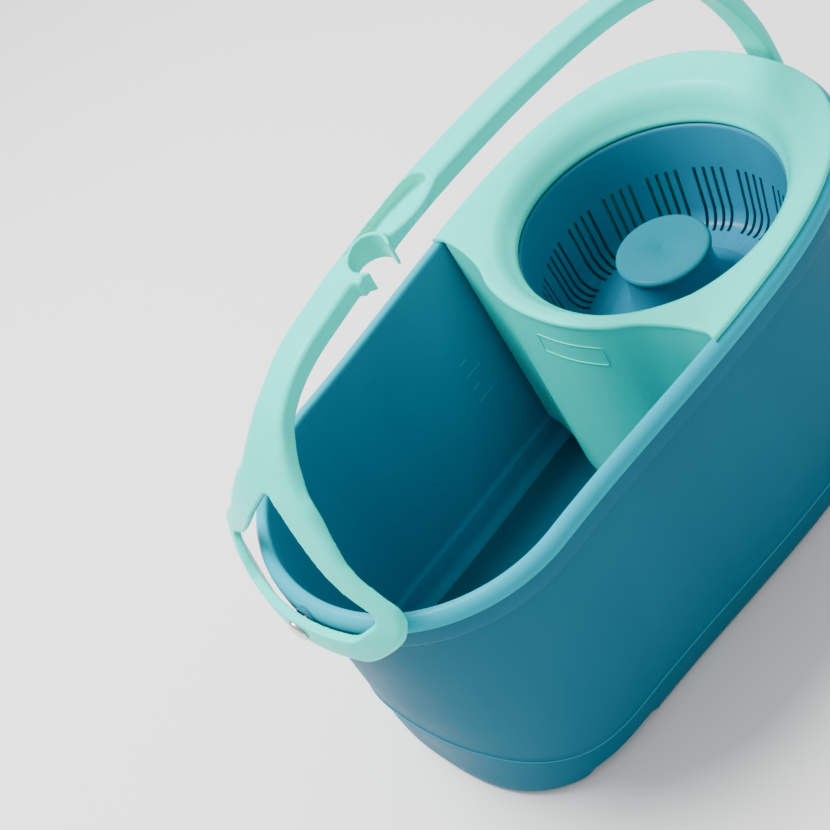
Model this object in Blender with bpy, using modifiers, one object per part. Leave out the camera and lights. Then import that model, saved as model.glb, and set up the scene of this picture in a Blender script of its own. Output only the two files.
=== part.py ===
"""Spin mop bucket: a long oval tub with a spin basket, a drain insert and a carrying bail.

Frame: metres, +Z up, +X towards the basket end, the pouring lip at -X.
The origin is at the bottom centre of the whole object.
Plan outlines are written about the basket's axis, which stands at x = AXIS_X.
"""
import math

import bmesh
import bpy
from mathutils import Matrix, Vector

# ---------------------------------------------------------------- driving dimensions (metres)
AXIS_X = 0.105              # basket axis, from the object's middle
GAP = 0.0003                # between pieces that touch
FIT_GAP = 0.0001            # round a shaft, all round

# tub plan, about the basket axis: half-ellipse nose, slowly widening sides, blunt rear
NOSE_CENTRE = -0.2332
NOSE_LENGTH = 0.1034
NOSE_HALF_WIDTH = 0.1099
WIDEST_X = -0.0435
HALF_WIDTH = 0.1184
REAR_LENGTH = 0.1680
REAR_POWER = 2.5

BASE_Z = 0.002              # underside of the tub, above the foot pads' soles
RIM_Z_AT_AXIS = 0.2291
RIM_RISE = 0.053            # the rim climbs towards the basket
WALL = 0.0028
FLANGE_OUT = 0.0105
SKIRT_DROP = 0.022
STEP_Z = 0.0280              # the body steps in below here; the step climbs round the nose
STEP_CLIMB = 0.035
STEP_CLIMB_FROM = -0.262
FOOT_NOSE_POWER = 2.6       # the foot is squarer in plan than the rim

OPENING_Z = 0.2108          # mouth of the basket
OPENING_R = 0.0905
POST_TOP_Z = OPENING_Z - 0.0310
POST_R = 0.0332
FLOOR_Z = OPENING_Z - 0.0860      # basket floor, upper side
SLOT_TOP_Z = OPENING_Z - 0.0397
SLOT_GROUPS = 16
SLOT_PHASE_DEG = 17.6
SLOTS_PER_GROUP = 4
SLOT_WIDTH = 0.0024
SLOT_PITCH_DEG = 4.55

WELL_R = 0.0955             # inside of the insert's well
WELL_BOTTOM_Z = FLOOR_Z - 0.0240
HUB_LOW_Z = FLOOR_Z - 0.0170
HUB_TOP_Z = FLOOR_Z + 0.0370
WASHER_Z = HUB_TOP_Z + 0.0012
COLLAR_TOP_Z = HUB_LOW_Z - 0.0032  # spindle collar, under the thrust washer
SCREW_R = 0.103             # bracket screws, from the basket axis

SPINDLE_R = 0.004
BUSH_R = 0.0062
PIVOT_Z = OPENING_Z - 0.0120
PIN_R = 0.004

STICK_X = -0.1962           # stick notch, from the basket axis
STICK_Y = -0.0080
STICK_R = 0.0121

MINT = (0.42, 0.88, 0.79)
TEAL = (0.025, 0.235, 0.315)
DARK_TEAL = (0.015, 0.145, 0.205)
CAP_TEAL = (0.06, 0.37, 0.45)
STEEL = (0.62, 0.63, 0.64)
WHITE = (0.80, 0.80, 0.78)
BLACK = (0.03, 0.03, 0.03)


# ---------------------------------------------------------------- scene set-up
def clear_scene():
    for item in list(bpy.data.objects):
        bpy.data.objects.remove(item, do_unlink=True)
    for group in list(bpy.data.collections):
        bpy.data.collections.remove(group)


def new_collection(name):
    group = bpy.data.collections.new(name)
    bpy.context.scene.collection.children.link(group)
    return group


clear_scene()
PARTS = new_collection("spin_mop_bucket")
CUTTERS = new_collection("cutters")

FRAME = bpy.data.objects.new("bucket_frame", None)
BASKET_AXIS = bpy.data.objects.new("basket_axis", None)
BAIL_AXIS = bpy.data.objects.new("bail_axis", None)
for empty in (FRAME, BASKET_AXIS, BAIL_AXIS):
    PARTS.objects.link(empty)
BASKET_AXIS.location = (AXIS_X, 0.0, 0.0)
BAIL_AXIS.location = (0.0, 0.0, PIVOT_Z)


def material(name, colour, roughness, metallic=0.0):
    surface = bpy.data.materials.new(name)
    surface.use_nodes = True
    shader = surface.node_tree.nodes["Principled BSDF"]
    shader.inputs["Base Color"].default_value = (*colour, 1.0)
    shader.inputs["Roughness"].default_value = roughness
    shader.inputs["Metallic"].default_value = metallic
    return surface


def finish(obj, colour, roughness=0.4, metallic=0.0, parent=FRAME, sharp=35.0):
    """Own material, smooth shading, and a parent whose origin is the joint's axis."""
    obj.data.materials.clear()
    obj.data.materials.append(material(obj.name + "_finish", colour, roughness, metallic))
    obj.data.shade_smooth()
    obj.data.set_sharp_from_angle(angle=math.radians(sharp))
    obj.data.transform(Matrix.Translation(-parent.location))
    obj.parent = parent
    return obj


def mesh_object(name, shape, group=PARTS):
    """Turn a bmesh into an object, with its faces pointing out."""
    bmesh.ops.recalc_face_normals(shape, faces=shape.faces)
    data = bpy.data.meshes.new(name)
    shape.to_mesh(data)
    shape.free()
    obj = bpy.data.objects.new(name, data)
    group.objects.link(obj)
    if group is CUTTERS:
        obj.hide_render = True
        obj.display_type = "WIRE"
    return obj


def boolean(obj, tool, operation):
    step = obj.modifiers.new(operation.lower() + "_" + tool.name, "BOOLEAN")
    step.operation = operation
    step.solver = "EXACT"
    step.object = tool
    return step


def cylinder(name, radius, length, centre, axis="Z", segments=32, group=PARTS):
    shape = bmesh.new()
    bmesh.ops.create_cone(shape, cap_ends=True, segments=segments, radius1=radius,
                          radius2=radius, depth=length)
    turn = {"X": Matrix.Rotation(math.pi / 2, 4, "Y"), "Z": Matrix.Identity(4)}[axis]
    bmesh.ops.transform(shape, matrix=Matrix.Translation(centre) @ turn, verts=shape.verts)
    return mesh_object(name, shape, group)


def box(name, size, centre, turn_z=0.0, group=PARTS):
    shape = bmesh.new()
    bmesh.ops.create_cube(shape, size=1.0)
    spin = Matrix.Rotation(turn_z, 4, "Z")
    place = spin @ Matrix.Translation(centre) @ Matrix.Diagonal((*size, 1.0))
    bmesh.ops.transform(shape, matrix=place, verts=shape.verts)
    return mesh_object(name, shape, group)


def move(obj, offset):
    obj.data.transform(Matrix.Translation(offset))
    return obj


def turned(name, profile, segments=64, centre=(0.0, 0.0, 0.0), group=PARTS):
    """(Radius, height) profile, run down its outer side first, turned about Z.

    The profile closes on itself, or where it runs along the axis it is left open there.
    """
    count = len(profile)
    open_at = [i for i in range(count) if profile[i][0] == 0.0 and profile[i - 1][0] == 0.0]
    if open_at:
        profile = profile[open_at[0]:] + profile[:open_at[0]]
    edges = [(i, (i + 1) % count) for i in range(count - len(open_at))]
    data = bpy.data.meshes.new(name)
    data.from_pydata([(r, 0.0, z) for r, z in profile], edges, [])
    obj = bpy.data.objects.new(name, data)
    group.objects.link(obj)
    spin = obj.modifiers.new("turn", "SCREW")
    spin.angle = math.tau
    spin.steps = segments
    spin.render_steps = segments
    spin.use_merge_vertices = True
    spin.merge_threshold = 0.00001
    return bake(obj, centre)


def bake(obj, offset=(0.0, 0.0, 0.0)):
    """Replace an object's mesh by its evaluated one, moved by the offset."""
    seen = obj.evaluated_get(bpy.context.evaluated_depsgraph_get())
    data = bpy.data.meshes.new_from_object(seen)
    obj.modifiers.clear()
    obj.data = data
    shape = bmesh.new()
    shape.from_mesh(data)
    bmesh.ops.remove_doubles(shape, verts=shape.verts, dist=0.000005)
    bmesh.ops.recalc_face_normals(shape, faces=shape.faces)
    bmesh.ops.translate(shape, vec=offset, verts=shape.verts)
    shape.to_mesh(data)
    shape.free()
    return obj


def loft(name, rings, closed_ends=True, looped=False, group=PARTS):
    """Skin a list of equal rings of points; cap both ends, or join the last to the first."""
    shape = bmesh.new()
    rows = [[shape.verts.new(point) for point in ring] for ring in rings]
    pairs = list(zip(rows, rows[1:]))
    if looped:
        pairs.append((rows[-1], rows[0]))
    for low, high in pairs:
        for i in range(len(low)):
            j = (i + 1) % len(low)
            shape.faces.new((low[i], low[j], high[j], high[i]))
    if closed_ends and not looped:
        shape.faces.new(rows[0])
        shape.faces.new(rows[-1])
    return mesh_object(name, shape, group)


# ---------------------------------------------------------------- plan outlines
def smoothstep(value):
    value = min(max(value, 0.0), 1.0)
    return value * value * (3.0 - 2.0 * value)


def spline(points, steps):
    """Catmull-Rom curve through the points."""
    out = []
    for i in range(len(points) - 1):
        p0 = points[max(i - 1, 0)]
        p1, p2 = points[i], points[i + 1]
        p3 = points[min(i + 2, len(points) - 1)]
        for k in range(steps):
            t = k / steps
            out.append(tuple(
                0.5 * (2 * b + (c - a) * t + (2 * a - 5 * b + 4 * c - d) * t * t
                       + (3 * b - a - 3 * c + d) * t ** 3)
                for a, b, c, d in zip(p0, p1, p2, p3)))
    out.append(points[-1])
    return out


def side_half_width(x):
    """Half width of the tub's mouth along its straight sides."""
    share = smoothstep((x - NOSE_CENTRE) / (WIDEST_X - NOSE_CENTRE))
    return NOSE_HALF_WIDTH + (HALF_WIDTH - NOSE_HALF_WIDTH) * share


def mouth_half(nose_power):
    """Points of the tub's inner rim from the lip to the rear, on the +Y side."""
    points = []
    nose_steps = 14
    for i in range(nose_steps + 1):
        turn = math.pi / 2 * i / nose_steps
        x = NOSE_CENTRE - NOSE_LENGTH * math.cos(turn) ** (2 / nose_power) * (i < nose_steps)
        points.append((x, NOSE_HALF_WIDTH * math.sin(turn) ** (2 / nose_power)))
    side_steps = 9
    for i in range(1, side_steps + 1):
        x = NOSE_CENTRE + (WIDEST_X - NOSE_CENTRE) * i / side_steps
        points.append((x, side_half_width(x)))
    rear_steps = 17
    for i in range(1, rear_steps + 1):
        turn = math.pi / 2 * i / rear_steps
        x = WIDEST_X + REAR_LENGTH * math.sin(turn) ** (2 / REAR_POWER)
        y = HALF_WIDTH * math.cos(turn) ** (2 / REAR_POWER) if i < rear_steps else 0.0
        points.append((x, y))
    return points


def mouth(nose_power=2.0):
    """The whole inner rim, counter-clockwise from the lip."""
    half = mouth_half(nose_power)
    near = [(x, -y) for x, y in half]
    return near + list(reversed(half))[1:-1]


MOUTH = mouth()


def offset_outline(points, distance):
    """Move each point of a counter-clockwise outline outwards along its normal."""
    moved = []
    count = len(points)
    for i, (x, y) in enumerate(points):
        ax, ay = points[i - 1]
        bx, by = points[(i + 1) % count]
        length = math.hypot(bx - ax, by - ay)
        moved.append((x + (by - ay) / length * distance, y - (bx - ax) / length * distance))
    return moved


def rim_z(x):
    return RIM_Z_AT_AXIS + RIM_RISE * x


def mouth_radius(angle, extra=0.0):
    """Distance from the basket axis to the offset mouth outline, in a direction."""
    outline = offset_outline(MOUTH, extra)
    dx, dy = math.cos(angle), math.sin(angle)
    best = 0.0
    for (ax, ay), (bx, by) in zip(outline, outline[1:] + outline[:1]):
        ex, ey = bx - ax, by - ay
        det = dx * (-ey) + dy * ex
        if abs(det) < 1e-12:
            continue
        reach = (ax * (-ey) + ay * ex) / det
        share = (dx * ay - dy * ax) / det
        if -1e-9 <= share <= 1.0 + 1e-9 and reach > best:
            best = reach
    return best


# ---------------------------------------------------------------- the tub
def step_climb(x):
    """How far the step in the wall rises towards the nose."""
    nose_end = NOSE_CENTRE - NOSE_LENGTH
    share = min(max((STEP_CLIMB_FROM - x) / (STEP_CLIMB_FROM - nose_end), 0.0), 1.0)
    return STEP_CLIMB * share * share


def make_tub():
    """One lofted shell: underside, stepped foot, wall, rolled rim, inside, floor."""
    drop = SKIRT_DROP
    # offset from the mouth outline, height, what the height is measured from
    section = [
        (-0.0200, BASE_Z, "base"), (-0.0080, BASE_Z, "base"), (-0.0032, BASE_Z + 0.0030, "base"),
        (-0.0020, STEP_Z - 0.0020, "step"), (0.0004, STEP_Z, "step"),
        (WALL, 0.0060, "rim"), (0.0080, 0.0060, "rim"), (0.0082, drop, "rim"),
        (FLANGE_OUT, drop, "rim"), (FLANGE_OUT, 0.0100, "rim"), (0.0098, 0.0058, "rim"),
        (0.0078, 0.0024, "rim"), (0.0048, 0.0004, "rim"), (0.0015, 0.0003, "rim"), (0.0, 0.0025, "rim"),
        (-0.0026, STEP_Z, "step"), (-0.0050, STEP_Z - 0.0020, "step"),
        (-0.0062, BASE_Z + 0.0080, "base"), (-0.0105, BASE_Z + WALL + 0.0006, "base"),
        (-0.0200, BASE_Z + WALL, "base"),
    ]
    outlines = {"base": mouth(FOOT_NOSE_POWER), "step": mouth((FOOT_NOSE_POWER + 2.0) / 2), "rim": MOUTH}
    rings = []
    for distance, height, level in section:
        ring = []
        for (x, y), (mx, _) in zip(offset_outline(outlines[level], distance), outlines[level]):
            z = {"base": height, "step": height + step_climb(mx), "rim": rim_z(mx) - height}[level]
            ring.append((x + AXIS_X, y, z))
        rings.append(ring)
    tub = loft("bucket_tub", rings)
    front_wall = NOSE_CENTRE - NOSE_LENGTH - WALL
    rear_wall = WIDEST_X + REAR_LENGTH + WALL
    bosses = (
        ("front_boss", front_wall + 0.0012, front_wall - 0.0092),
        ("rear_boss", rear_wall - 0.0018, rear_wall + 0.0098),
    )
    for name, root, face in bosses:
        centre = ((root + face) / 2 + AXIS_X, 0.0, PIVOT_Z)
        boss = cylinder(name, 0.0095, abs(face - root), centre, "X", 24, CUTTERS)
        boolean(tub, boss, "UNION")
        depth = abs(face - root) - 0.0006
        sign = math.copysign(1.0, face - root)
        hole_x = face - sign * (depth / 2 - 0.001)
        hole = cylinder(name + "_hole", PIN_R + FIT_GAP, depth,
                        (hole_x + AXIS_X, 0.0, PIVOT_Z), "X", 24, CUTTERS)
        boolean(tub, hole, "DIFFERENCE")
    return finish(tub, TEAL, 0.32)


# ---------------------------------------------------------------- the insert
# nose of the insert, from the basket axis: direction off the +X axis (degrees), radius
INSERT_NOSE = ((125.0, 0.1415), (131.9, 0.1264), (142.3, 0.1160), (153.1, 0.1150),
               (162.6, 0.1140), (180.0, 0.1130))


def insert_nose_radius(degrees):
    line = spline(INSERT_NOSE, 12)
    for (a, ra), (b, rb) in zip(line, line[1:]):
        if degrees <= b:
            return ra + (rb - ra) * (degrees - a) / (b - a)
    return INSERT_NOSE[-1][1]


def make_insert():
    """Deck, funnel, well and front wall, lofted round the basket axis."""
    corner = INSERT_NOSE[0][0]
    steps = 90
    rings = []
    for i in range(steps):
        angle = math.tau * (i + 0.5) / steps
        degrees = math.degrees(angle)
        from_rear = degrees if degrees <= 180.0 else 360.0 - degrees
        nose = from_rear > corner
        if nose:
            skirt = insert_nose_radius(from_rear)
            lip = skirt + 0.0008
            skirt_z = 0.036
            draft = 0.006 + (skirt - 0.113) * 0.12
        else:
            skirt = mouth_radius(angle, -0.0012)
            lip = mouth_radius(angle, 0.0055)
            skirt_z = rim_z(skirt * math.cos(angle)) - 0.016
            draft = 0.0006
        under = rim_z(lip * math.cos(angle)) + GAP
        if nose:
            under = rim_z(-0.0825) + GAP
        deck = under + 0.0018
        profile = [
            (skirt - draft, skirt_z), (skirt, under), (lip, under), (lip, under + 0.0018),
            (lip - 0.0015, under + 0.0030), (skirt - 0.0045, deck + 0.0006),
            (0.1035, deck - 0.0020), (0.0990, deck - 0.0055), (0.0930, OPENING_Z + 0.0030),
            (0.0916, OPENING_Z + 0.0008), (0.0916, OPENING_Z - 0.0010),
            (WELL_R, OPENING_Z - 0.0030), (WELL_R, WELL_BOTTOM_Z), (WELL_R + 0.0025, WELL_BOTTOM_Z),
            (WELL_R + 0.0025, OPENING_Z - 0.0020), (0.1020, deck - 0.0060),
            (skirt - 0.0035, under - 0.0020), (skirt - draft - 0.0025, skirt_z),
        ]
        rings.append([(r * math.cos(angle) + AXIS_X, r * math.sin(angle), z) for r, z in profile])
    insert = loft("spinner_insert", rings, looped=True)
    for i in range(4):
        turn = math.radians(45.0 + 90.0 * i)
        lug = box("screw_lug_%d" % i, (0.014, 0.014, 0.010),
                  (SCREW_R, 0.0, WELL_BOTTOM_Z + 0.005), turn, CUTTERS)
        boolean(insert, move(lug, (AXIS_X, 0.0, 0.0)), "UNION")
        at = (SCREW_R * math.cos(turn) + AXIS_X, SCREW_R * math.sin(turn), WELL_BOTTOM_Z + 0.003)
        hole = cylinder("screw_lug_hole_%d" % i, 0.0016 + FIT_GAP, 0.009, at, "Z", 12, CUTTERS)
        boolean(insert, hole, "DIFFERENCE")
    return finish(insert, MINT, 0.35)


# ---------------------------------------------------------------- the spinning group
def make_basket():
    """Turned slotted bowl with a hub tube in its middle."""
    profile = [
        (0.0935, OPENING_Z - 0.0036), (0.0935, OPENING_Z - 0.0064), (0.0915, OPENING_Z - 0.0070),
        (0.0898, SLOT_TOP_Z), (0.0862, FLOOR_Z + 0.0090), (0.0835, FLOOR_Z + 0.0020),
        (0.0770, FLOOR_Z - 0.0022), (0.0122, FLOOR_Z - 0.0022), (0.0122, HUB_LOW_Z),
        (BUSH_R + FIT_GAP, HUB_LOW_Z), (BUSH_R + FIT_GAP, HUB_TOP_Z), (0.0092, HUB_TOP_Z),
        (0.0092, FLOOR_Z), (0.0740, FLOOR_Z), (0.0800, FLOOR_Z + 0.0040),
        (0.0838, FLOOR_Z + 0.0110), (0.0877, SLOT_TOP_Z), (OPENING_R, OPENING_Z - 0.0046),
        (0.0911, OPENING_Z - 0.0036),
    ]
    basket = turned("spin_basket", profile, 64, (AXIS_X, 0.0, 0.0))
    slots = bmesh.new()
    low = FLOOR_Z - 0.0060
    for group in range(SLOT_GROUPS):
        for k in range(SLOTS_PER_GROUP):
            degrees = SLOT_PHASE_DEG + 360.0 / SLOT_GROUPS * group
            degrees += SLOT_PITCH_DEG * (k - (SLOTS_PER_GROUP - 1) / 2)
            cell = bmesh.ops.create_cube(slots, size=1.0)["verts"]
            size = (0.0260, SLOT_WIDTH, SLOT_TOP_Z - low)
            place = (Matrix.Rotation(math.radians(degrees), 4, "Z")
                     @ Matrix.Translation((0.0710 + size[0] / 2, 0.0, (SLOT_TOP_Z + low) / 2))
                     @ Matrix.Diagonal((*size, 1.0)))
            bmesh.ops.transform(slots, matrix=Matrix.Translation((AXIS_X, 0, 0)) @ place, verts=cell)
    boolean(basket, mesh_object("basket_slots", slots, CUTTERS), "DIFFERENCE")
    return finish(basket, DARK_TEAL, 0.38, parent=BASKET_AXIS)


def make_post():
    """Hollow flared post that stands on the basket floor round the hub."""
    top = POST_TOP_Z - 0.0050
    profile = [
        (0.0310, top), (0.0312, FLOOR_Z + 0.0340), (0.0345, FLOOR_Z + 0.0160),
        (0.0420, FLOOR_Z + 0.0055), (0.0540, FLOOR_Z + 0.0020),
        (0.0540, FLOOR_Z + GAP), (0.0505, FLOOR_Z + GAP),
        (0.0400, FLOOR_Z + 0.0028), (0.0320, FLOOR_Z + 0.0140),
        (0.0286, FLOOR_Z + 0.0335), (0.0284, top),
    ]
    post = turned("basket_post", profile, 40, (AXIS_X, 0.0, 0.0))
    return finish(post, DARK_TEAL, 0.35, parent=BASKET_AXIS)


def make_post_cap():
    """Round cap with a rolled edge and a spigot that plugs into the post."""
    low = POST_TOP_Z - 0.0050 + GAP
    profile = [
        (0.0, POST_TOP_Z), (0.0308, POST_TOP_Z), (0.0326, POST_TOP_Z - 0.0008),
        (POST_R, POST_TOP_Z - 0.0024), (0.0328, low), (0.0281, low), (0.0281, low - 0.0060),
        (0.0262, low - 0.0060), (0.0262, low + 0.0018), (0.0, low + 0.0018),
    ]
    cap = turned("post_cap", profile, 40, (AXIS_X, 0.0, 0.0))
    return finish(cap, CAP_TEAL, 0.28, parent=BASKET_AXIS)


def make_bush(name, low, high, parent, outer=BUSH_R, inner=SPINDLE_R + FIT_GAP):
    profile = [(outer, high), (outer, low), (inner, low), (inner, high)]
    bush = turned(name, profile, 24, (AXIS_X, 0.0, 0.0))
    return finish(bush, WHITE, 0.5, parent=parent)


def make_spindle():
    """Steel spindle with a collar that stands on the bracket, and a reduced top."""
    profile = [
        (SPINDLE_R, HUB_TOP_Z + 0.0006), (SPINDLE_R, COLLAR_TOP_Z), (0.0085, COLLAR_TOP_Z),
        (0.0085, WELL_BOTTOM_Z + GAP), (SPINDLE_R, WELL_BOTTOM_Z + GAP),
        (SPINDLE_R, WELL_BOTTOM_Z - 0.0130), (0.0, WELL_BOTTOM_Z - 0.0130),
        (0.0, HUB_TOP_Z - 0.0070), (0.0016, HUB_TOP_Z - 0.0070),
        (0.0016, HUB_TOP_Z + 0.0006),
    ]
    spindle = turned("spindle", profile, 24, (AXIS_X, 0.0, 0.0))
    return finish(spindle, STEEL, 0.25, 1.0)


def make_thrust_washer():
    low, high = COLLAR_TOP_Z + GAP, HUB_LOW_Z - GAP
    profile = [(0.0110, high), (0.0110, low), (SPINDLE_R + FIT_GAP, low), (SPINDLE_R + FIT_GAP, high)]
    washer = turned("thrust_washer", profile, 24, (AXIS_X, 0.0, 0.0))
    return finish(washer, WHITE, 0.45)


def make_retaining_washer():
    low, high = WASHER_Z, WASHER_Z + 0.0018
    profile = [(0.0088, high), (0.0088, low), (0.0019, low), (0.0019, high)]
    washer = turned("retaining_washer", profile, 24, (AXIS_X, 0.0, 0.0))
    return finish(washer, STEEL, 0.3, 1.0)


def make_spindle_screw():
    """Screw with a round head and a cross recess, down the middle of the spindle."""
    head = WASHER_Z + 0.0018 + GAP
    profile = [
        (0.0030, head + 0.0029), (0.0040, head + 0.0020), (0.0040, head), (0.0014, head),
        (0.0014, HUB_TOP_Z - 0.0055), (0.0, HUB_TOP_Z - 0.0055), (0.0, head + 0.0029),
    ]
    screw = turned("spindle_screw", profile, 16, (AXIS_X, 0.0, 0.0))
    for i in range(2):
        slot = box("spindle_screw_slot_%d" % i, (0.0044, 0.0008, 0.0024), (0.0, 0.0, head + 0.0029),
                   math.pi / 2 * i, CUTTERS)
        boolean(screw, move(slot, (AXIS_X, 0.0, 0.0)), "DIFFERENCE")
    return finish(screw, STEEL, 0.3, 1.0)


# ---------------------------------------------------------------- the bracket under the basket
def make_bracket():
    """Four arms and a hub that hold the spindle under the well."""
    top = WELL_BOTTOM_Z - GAP
    hub = cylinder("spindle_bracket", 0.0130, 0.0150, (AXIS_X, 0.0, top - 0.0075), "Z", 32)
    reach = SCREW_R + 0.0065
    for i in range(2):
        arm = box("bracket_arm_%d" % i, (2 * reach, 0.0130, 0.0060), (0.0, 0.0, top - 0.0030),
                  math.radians(45.0 + 90.0 * i), CUTTERS)
        boolean(hub, move(arm, (AXIS_X, 0.0, 0.0)), "UNION")
        rib = box("bracket_rib_%d" % i, (0.150, 0.0030, 0.0110), (0.0, 0.0, top - 0.0070),
                  math.radians(45.0 + 90.0 * i), CUTTERS)
        boolean(hub, move(rib, (AXIS_X, 0.0, 0.0)), "UNION")
    bore = cylinder("bracket_bore", SPINDLE_R + FIT_GAP, 0.040, (AXIS_X, 0.0, top), "Z", 24, CUTTERS)
    boolean(hub, bore, "DIFFERENCE")
    for i in range(4):
        turn = math.radians(45.0 + 90.0 * i)
        at = (SCREW_R * math.cos(turn) + AXIS_X, SCREW_R * math.sin(turn), top)
        hole = cylinder("bracket_hole_%d" % i, 0.0021, 0.030, at, "Z", 12, CUTTERS)
        boolean(hub, hole, "DIFFERENCE")
    return finish(hub, MINT, 0.4)


def make_bracket_screws():
    """One screw up through each arm into the insert's lug."""
    arm_low = WELL_BOTTOM_Z - GAP - 0.0060
    for i in range(4):
        turn = math.radians(45.0 + 90.0 * i)
        profile = [
            (0.0016, WELL_BOTTOM_Z + 0.0068), (0.0016, arm_low - GAP), (0.0038, arm_low - GAP),
            (0.0034, arm_low - 0.0026), (0.0, arm_low - 0.0026),
            (0.0, WELL_BOTTOM_Z + 0.0068),
        ]
        centre = (SCREW_R * math.cos(turn) + AXIS_X, SCREW_R * math.sin(turn), 0.0)
        screw = turned("bracket_screw_%d" % (i + 1), profile, 12, centre)
        finish(screw, STEEL, 0.3, 1.0)


# ---------------------------------------------------------------- the carrying bail
# front face of the bail in the mid plane, from the front pivot's bar to the rear eye:
# x from the basket axis, height above the basket mouth, half width, thickness
BAIL_LINE = (
    (-0.3566, -0.0235, 0.0478, 0.0070), (-0.3566, -0.0226, 0.0515, 0.0070),
    (-0.3566, -0.0190, 0.0580, 0.0070), (-0.3566, -0.0120, 0.0672, 0.0070),
    (-0.3565, -0.0050, 0.0748, 0.0068), (-0.3562, 0.0010, 0.0797, 0.0066),
    (-0.3538, 0.0080, 0.0827, 0.0062), (-0.3491, 0.0155, 0.0836, 0.0060),
    (-0.3448, 0.0228, 0.0812, 0.0056), (-0.3417, 0.0295, 0.0748, 0.0052),
    (-0.3396, 0.0355, 0.0679, 0.0050), (-0.3379, 0.0420, 0.0611, 0.0050),
    (-0.3352, 0.0505, 0.0535, 0.0056), (-0.3317, 0.0605, 0.0474, 0.0066),
    (-0.3275, 0.0710, 0.0400, 0.0080), (-0.3240, 0.0799, 0.0335, 0.0080),
    (-0.3202, 0.0868, 0.0273, 0.0082),
    (-0.3165, 0.0932, 0.0239, 0.0085), (-0.3128, 0.1000, 0.0208, 0.0088),
    (-0.3078, 0.1074, 0.0178, 0.0092), (-0.3020, 0.1145, 0.0154, 0.0097),
    (-0.2960, 0.1212, 0.0136, 0.0103), (-0.2846, 0.1297, 0.0121, 0.0113),
    (-0.2716, 0.1374, 0.0118, 0.0120), (-0.2557, 0.1436, 0.0118, 0.0125),
    (-0.2372, 0.1476, 0.0118, 0.0125), (-0.2100, 0.1528, 0.0118, 0.0125),
    (-0.1700, 0.1583, 0.0118, 0.0125), (-0.1200, 0.1615, 0.0118, 0.0125),
    (-0.0500, 0.1610, 0.0118, 0.0125), (0.0200, 0.1540, 0.0118, 0.0125),
    (0.0720, 0.1380, 0.0118, 0.0125), (0.1120, 0.1060, 0.0118, 0.0125),
    (0.1350, 0.0600, 0.0118, 0.0102), (0.1450, 0.0200, 0.0118, 0.0088),
    (0.1465, 0.0000, 0.0118, 0.0088), (0.1465, -0.0120, 0.0118, 0.0088),
)
STIRRUP_FRONT = BAIL_LINE[0][0]
STIRRUP_THICK = BAIL_LINE[0][3]
REAR_EYE_FACE = 0.1470
BAIL_STEPS = 2              # sections between two points of the line
LEG_BOW = 3.4               # the stirrup's foot bends back round the lip by this times y squared
UPPER_BOW = 2.28            # and its upper half by this
# half outline of the pouring hole: half width, height above the basket mouth
STIRRUP_HOLE = (
    (0.0, -0.0035), (0.0300, -0.0035), (0.0440, -0.0028), (0.0510, 0.0005), (0.0570, 0.0055),
    (0.0625, 0.0100), (0.0660, 0.0140), (0.0668, 0.0172), (0.0645, 0.0203), (0.0603, 0.0232),
    (0.0472, 0.0307), (0.0355, 0.0424), (0.0218, 0.0592), (0.0108, 0.0715), (0.0060, 0.0768),
    (0.0025, 0.0805), (0.0, 0.0812),
)


def bail_bow(z):
    """How strongly a section bends back away from the mid plane, per metre."""
    low = LEG_BOW + (UPPER_BOW - LEG_BOW) * smoothstep((z + 0.004) / 0.040)
    return low * (1.0 - smoothstep((z - 0.100) / 0.030))


def make_bail():
    """One swept slab: bar and legs of the stirrup, stem, grip and rear arm."""
    line = spline(BAIL_LINE, BAIL_STEPS)
    rings = []
    for i, (x, z, half, thick) in enumerate(line):
        ax, az = line[max(i - 1, 0)][:2]
        bx, bz = line[min(i + 1, len(line) - 1)][:2]
        length = math.hypot(bx - ax, bz - az)
        leaning = smoothstep((z - 0.075) / 0.040) if x < 0.0 else 1.0
        inward = Vector((1.0, 0.0, 0.0)).lerp(Vector(((bz - az) / length, 0.0, -(bx - ax) / length)),
                                              leaning).normalized()
        face = Vector((x + AXIS_X, 0.0, z + OPENING_Z))
        bow = bail_bow(z) if x < 0.0 else 0.0
        ring = []
        section = [(1.0, 0.0018, thick), (1.0, 0.0, thick - 0.002), (1.0, 0.0, 0.0028), (1.0, 0.0035, 0.0),
                   (0.55, 0.0, 0.0), (0.0, 0.0, 0.0), (-0.55, 0.0, 0.0),
                   (-1.0, 0.0035, 0.0), (-1.0, 0.0, 0.0028), (-1.0, 0.0, thick - 0.002), (-1.0, 0.0018, thick)]
        section += [(share, 0.0, thick) for share in (-0.8, -0.55, -0.28, 0.0, 0.28, 0.55, 0.8)]
        for share, inset, depth in section:
            y = share * (half - inset)
            ring.append(face + inward * depth + Vector((bow * y * y, y, 0.0)))
        rings.append(ring)
    return loft("carry_handle", rings)


def make_pouring_hole():
    """Cutter through the stirrup, along X."""
    outline = list(STIRRUP_HOLE) + [(-y, z) for y, z in reversed(STIRRUP_HOLE[1:-1])]
    rings = [[(x + AXIS_X, y, z + OPENING_Z) for y, z in outline] for x in (-0.375, -0.295)]
    return loft("pouring_hole", rings, group=CUTTERS)


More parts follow.
